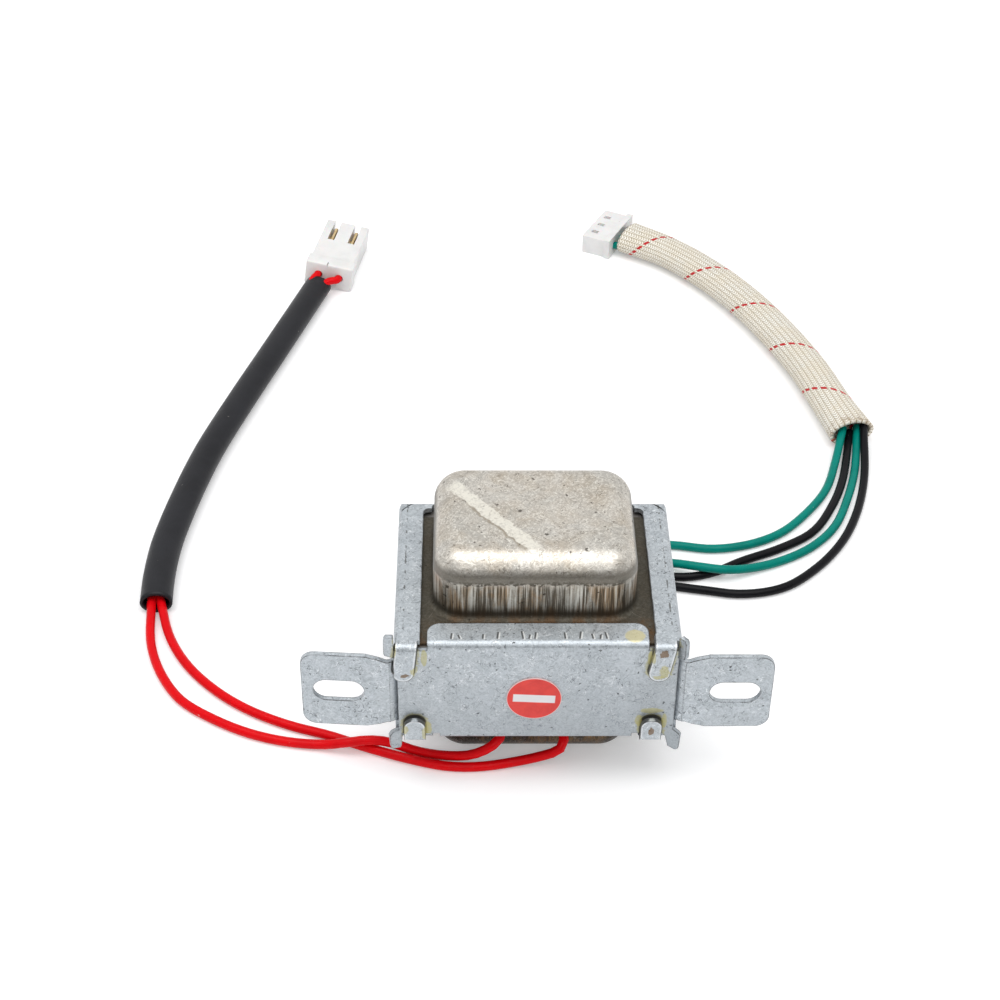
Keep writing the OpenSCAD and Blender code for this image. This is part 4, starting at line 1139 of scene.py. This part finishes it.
def sealSurface(settings):
    material, tree, shader, place = newMaterial("redSeal", IOR=1.47, Coat_Weight=0.2, Coat_Roughness=0.25)
    at = place["Object"]
    x, z = (v * mm for v in settings["centre"])
    local = mapped(tree, at, shift=(-x, 0, -z))
    parts = parted(tree, mapped(tree, local, turn=(0, -math.radians(settings["turn"]), 0)))
    cloud, tone, rough = cloudy(tree, at, (500.0, 3.0, 0.6, 0.3), (0.74, 0.030, 0.018), (0.64, 0.020, 0.014),
                                (0.34, 0.46))
    square = timesPlus(tree, parts["X"], parts["X"], times(tree, parts["Z"], parts["Z"]))
    distance = calc(tree, "SQRT", square)
    radius = settings["radius"] * mm
    rim = between(tree, distance, radius - (settings["rim"] + 0.06) * mm, radius - settings["rim"] * mm)
    tone = tinted(tree, tone, rim, 0.75, (0.80, 0.70, 0.68))
    wide, high = (v * mm for v in settings["bar"])
    edge = 0.00008
    inX = between(tree, calc(tree, "ABSOLUTE", parts["X"]), wide / 2 + edge, wide / 2 - edge)
    inZ = between(tree, offBy(tree, parts["Z"], settings["barUp"] * mm),
                  high / 2 + edge, high / 2 - edge)
    bar = times(tree, inX, inZ)
    tone = blendColour(tree, bar, tone, blendColour(tree, cloud, (0.80, 0.79, 0.80), (0.70, 0.69, 0.72)))
    return finished(material, tree, shader, tone, rough, cloud, 0.12, 0.00006)


innerFinishes = {
    "core_e_stack": laminatedSurface("coreSheets", (0.30, 0.28, 0.26), (0.03, 0.022, 0.016), 0.0005),
    "core_i_stack": laminatedSurface("coreBarSheets", (0.32, 0.30, 0.28), (0.03, 0.022, 0.016), 0.0005),
    "bobbin": cloudedSurface("bobbinNylon", bobbinFinish, IOR=1.53, Subsurface_Weight=0.08,
                             Subsurface_Scale=0.001),
    "primary_winding": windingSurface("fineWire", (0.60, 0.22, 0.07), 0.00018),
    "secondary_winding": windingSurface("thickWire", (0.66, 0.27, 0.09), 0.0005),
    "primary_tape": tapeSurface("yellowTape", (0.72, 0.52, 0.10), (0.62, 0.42, 0.07)),
    "secondary_tape": tapeSurface("amberTape", (0.70, 0.48, 0.09), (0.58, 0.38, 0.06)),
    "seal_disc": sealSurface(sealSet),
}
for node, material in innerFinishes.items():
    dress(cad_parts[node], material)
print("core, coil and seal dressed")

# Floor and lights

stageSet = {
    "half": 0.36, "floor": (0.86, 0.86, 0.865), "floorGlow": 0.24,
    "sky": 0.62, "seenSky": 0.92, "frontSky": 0.10,
}


def makeFloor(settings):
    material, tree, shader, place = newMaterial("paleFloor", Roughness=0.9, Specular_IOR_Level=0.1)
    cloud = noiseAt(tree, place["Object"], 6.0, 3.0)
    tone = blendColour(tree, between(tree, cloud, 0.3, 0.7, 0.0, 0.05), settings["floor"], (0.80, 0.80, 0.81))
    tree.links.new(tone, shader.inputs["Base Color"])
    rays = addNode(tree, "LightPath").outputs
    seen = calc(tree, "MAXIMUM", rays["Is Camera Ray"], rays["Is Glossy Ray"])
    light = times(tree, seen, settings["floorGlow"])
    glow = addNode(tree, "Emission", None, {"Color": (1, 1, 1, 1), "Strength": light})
    both = addNode(tree, "AddShader", None, {0: shader.outputs[0], 1: glow.outputs[0]})
    tree.links.new(both.outputs[0], tree.nodes["Material Output"].inputs["Surface"])
    bm = bmesh.new()
    bmesh.ops.create_grid(bm, x_segments=4, y_segments=4, size=settings["half"])
    mesh = bpy.data.meshes.new("floorSheet")
    bm.to_mesh(mesh)
    bm.free()
    mesh.materials.append(material)
    floor = newObject("floorSheet", mesh)


def makeWorld(settings):
    world = bpy.data.worlds.new("studioWorld")
    scene.world = world
    world.use_nodes = True
    tree = world.node_tree
    rays = addNode(tree, "LightPath").outputs
    seen = calc(tree, "MAXIMUM", rays["Is Camera Ray"], calc(
        tree, "MAXIMUM", rays["Is Glossy Ray"], rays["Is Transmission Ray"]))
    way = parted(tree, addNode(tree, "TexCoord").outputs["Generated"])
    ahead = times(tree, between(tree, way["Y"], -0.1, -0.75), between(tree, way["Z"], 0.85, 0.25))
    shown = timesPlus(tree, ahead, settings["frontSky"] - settings["seenSky"], settings["seenSky"])
    shown = calc(tree, "MAXIMUM", shown, rays["Is Camera Ray"])     # plain white behind the bench
    strength = addNode(tree, "Mix", {"data_type": "FLOAT"}, {0: seen, 2: settings["sky"], 3: shown})
    back = tree.nodes["Background"]
    back.inputs["Color"].default_value = (1, 1, 1, 1)
    tree.links.new(strength.outputs[0], back.inputs["Strength"])


def makeLamp(name, place, aim, size, power):
    data = bpy.data.lights.new(name, "AREA")
    data.shape = "RECTANGLE"
    data.size, data.size_y = size
    data.energy = power
    lamp = newObject(name, data)
    lamp.location = place
    lamp.rotation_euler = (Vector(aim) - Vector(place)).to_track_quat("-Z", "Y").to_euler()


makeFloor(stageSet)
makeWorld(stageSet)
lampList = [
    ("overhead", (-0.03, -0.10, 0.85), (0, 0, 0), (0.95, 0.62), 4.9),
    ("frontFill", (0.02, -0.76, 0.66), (0, 0, 0.02), (1.1, 0.22), 1.0),
]
for lamp in lampList:
    makeLamp(*lamp)
print("stage set")
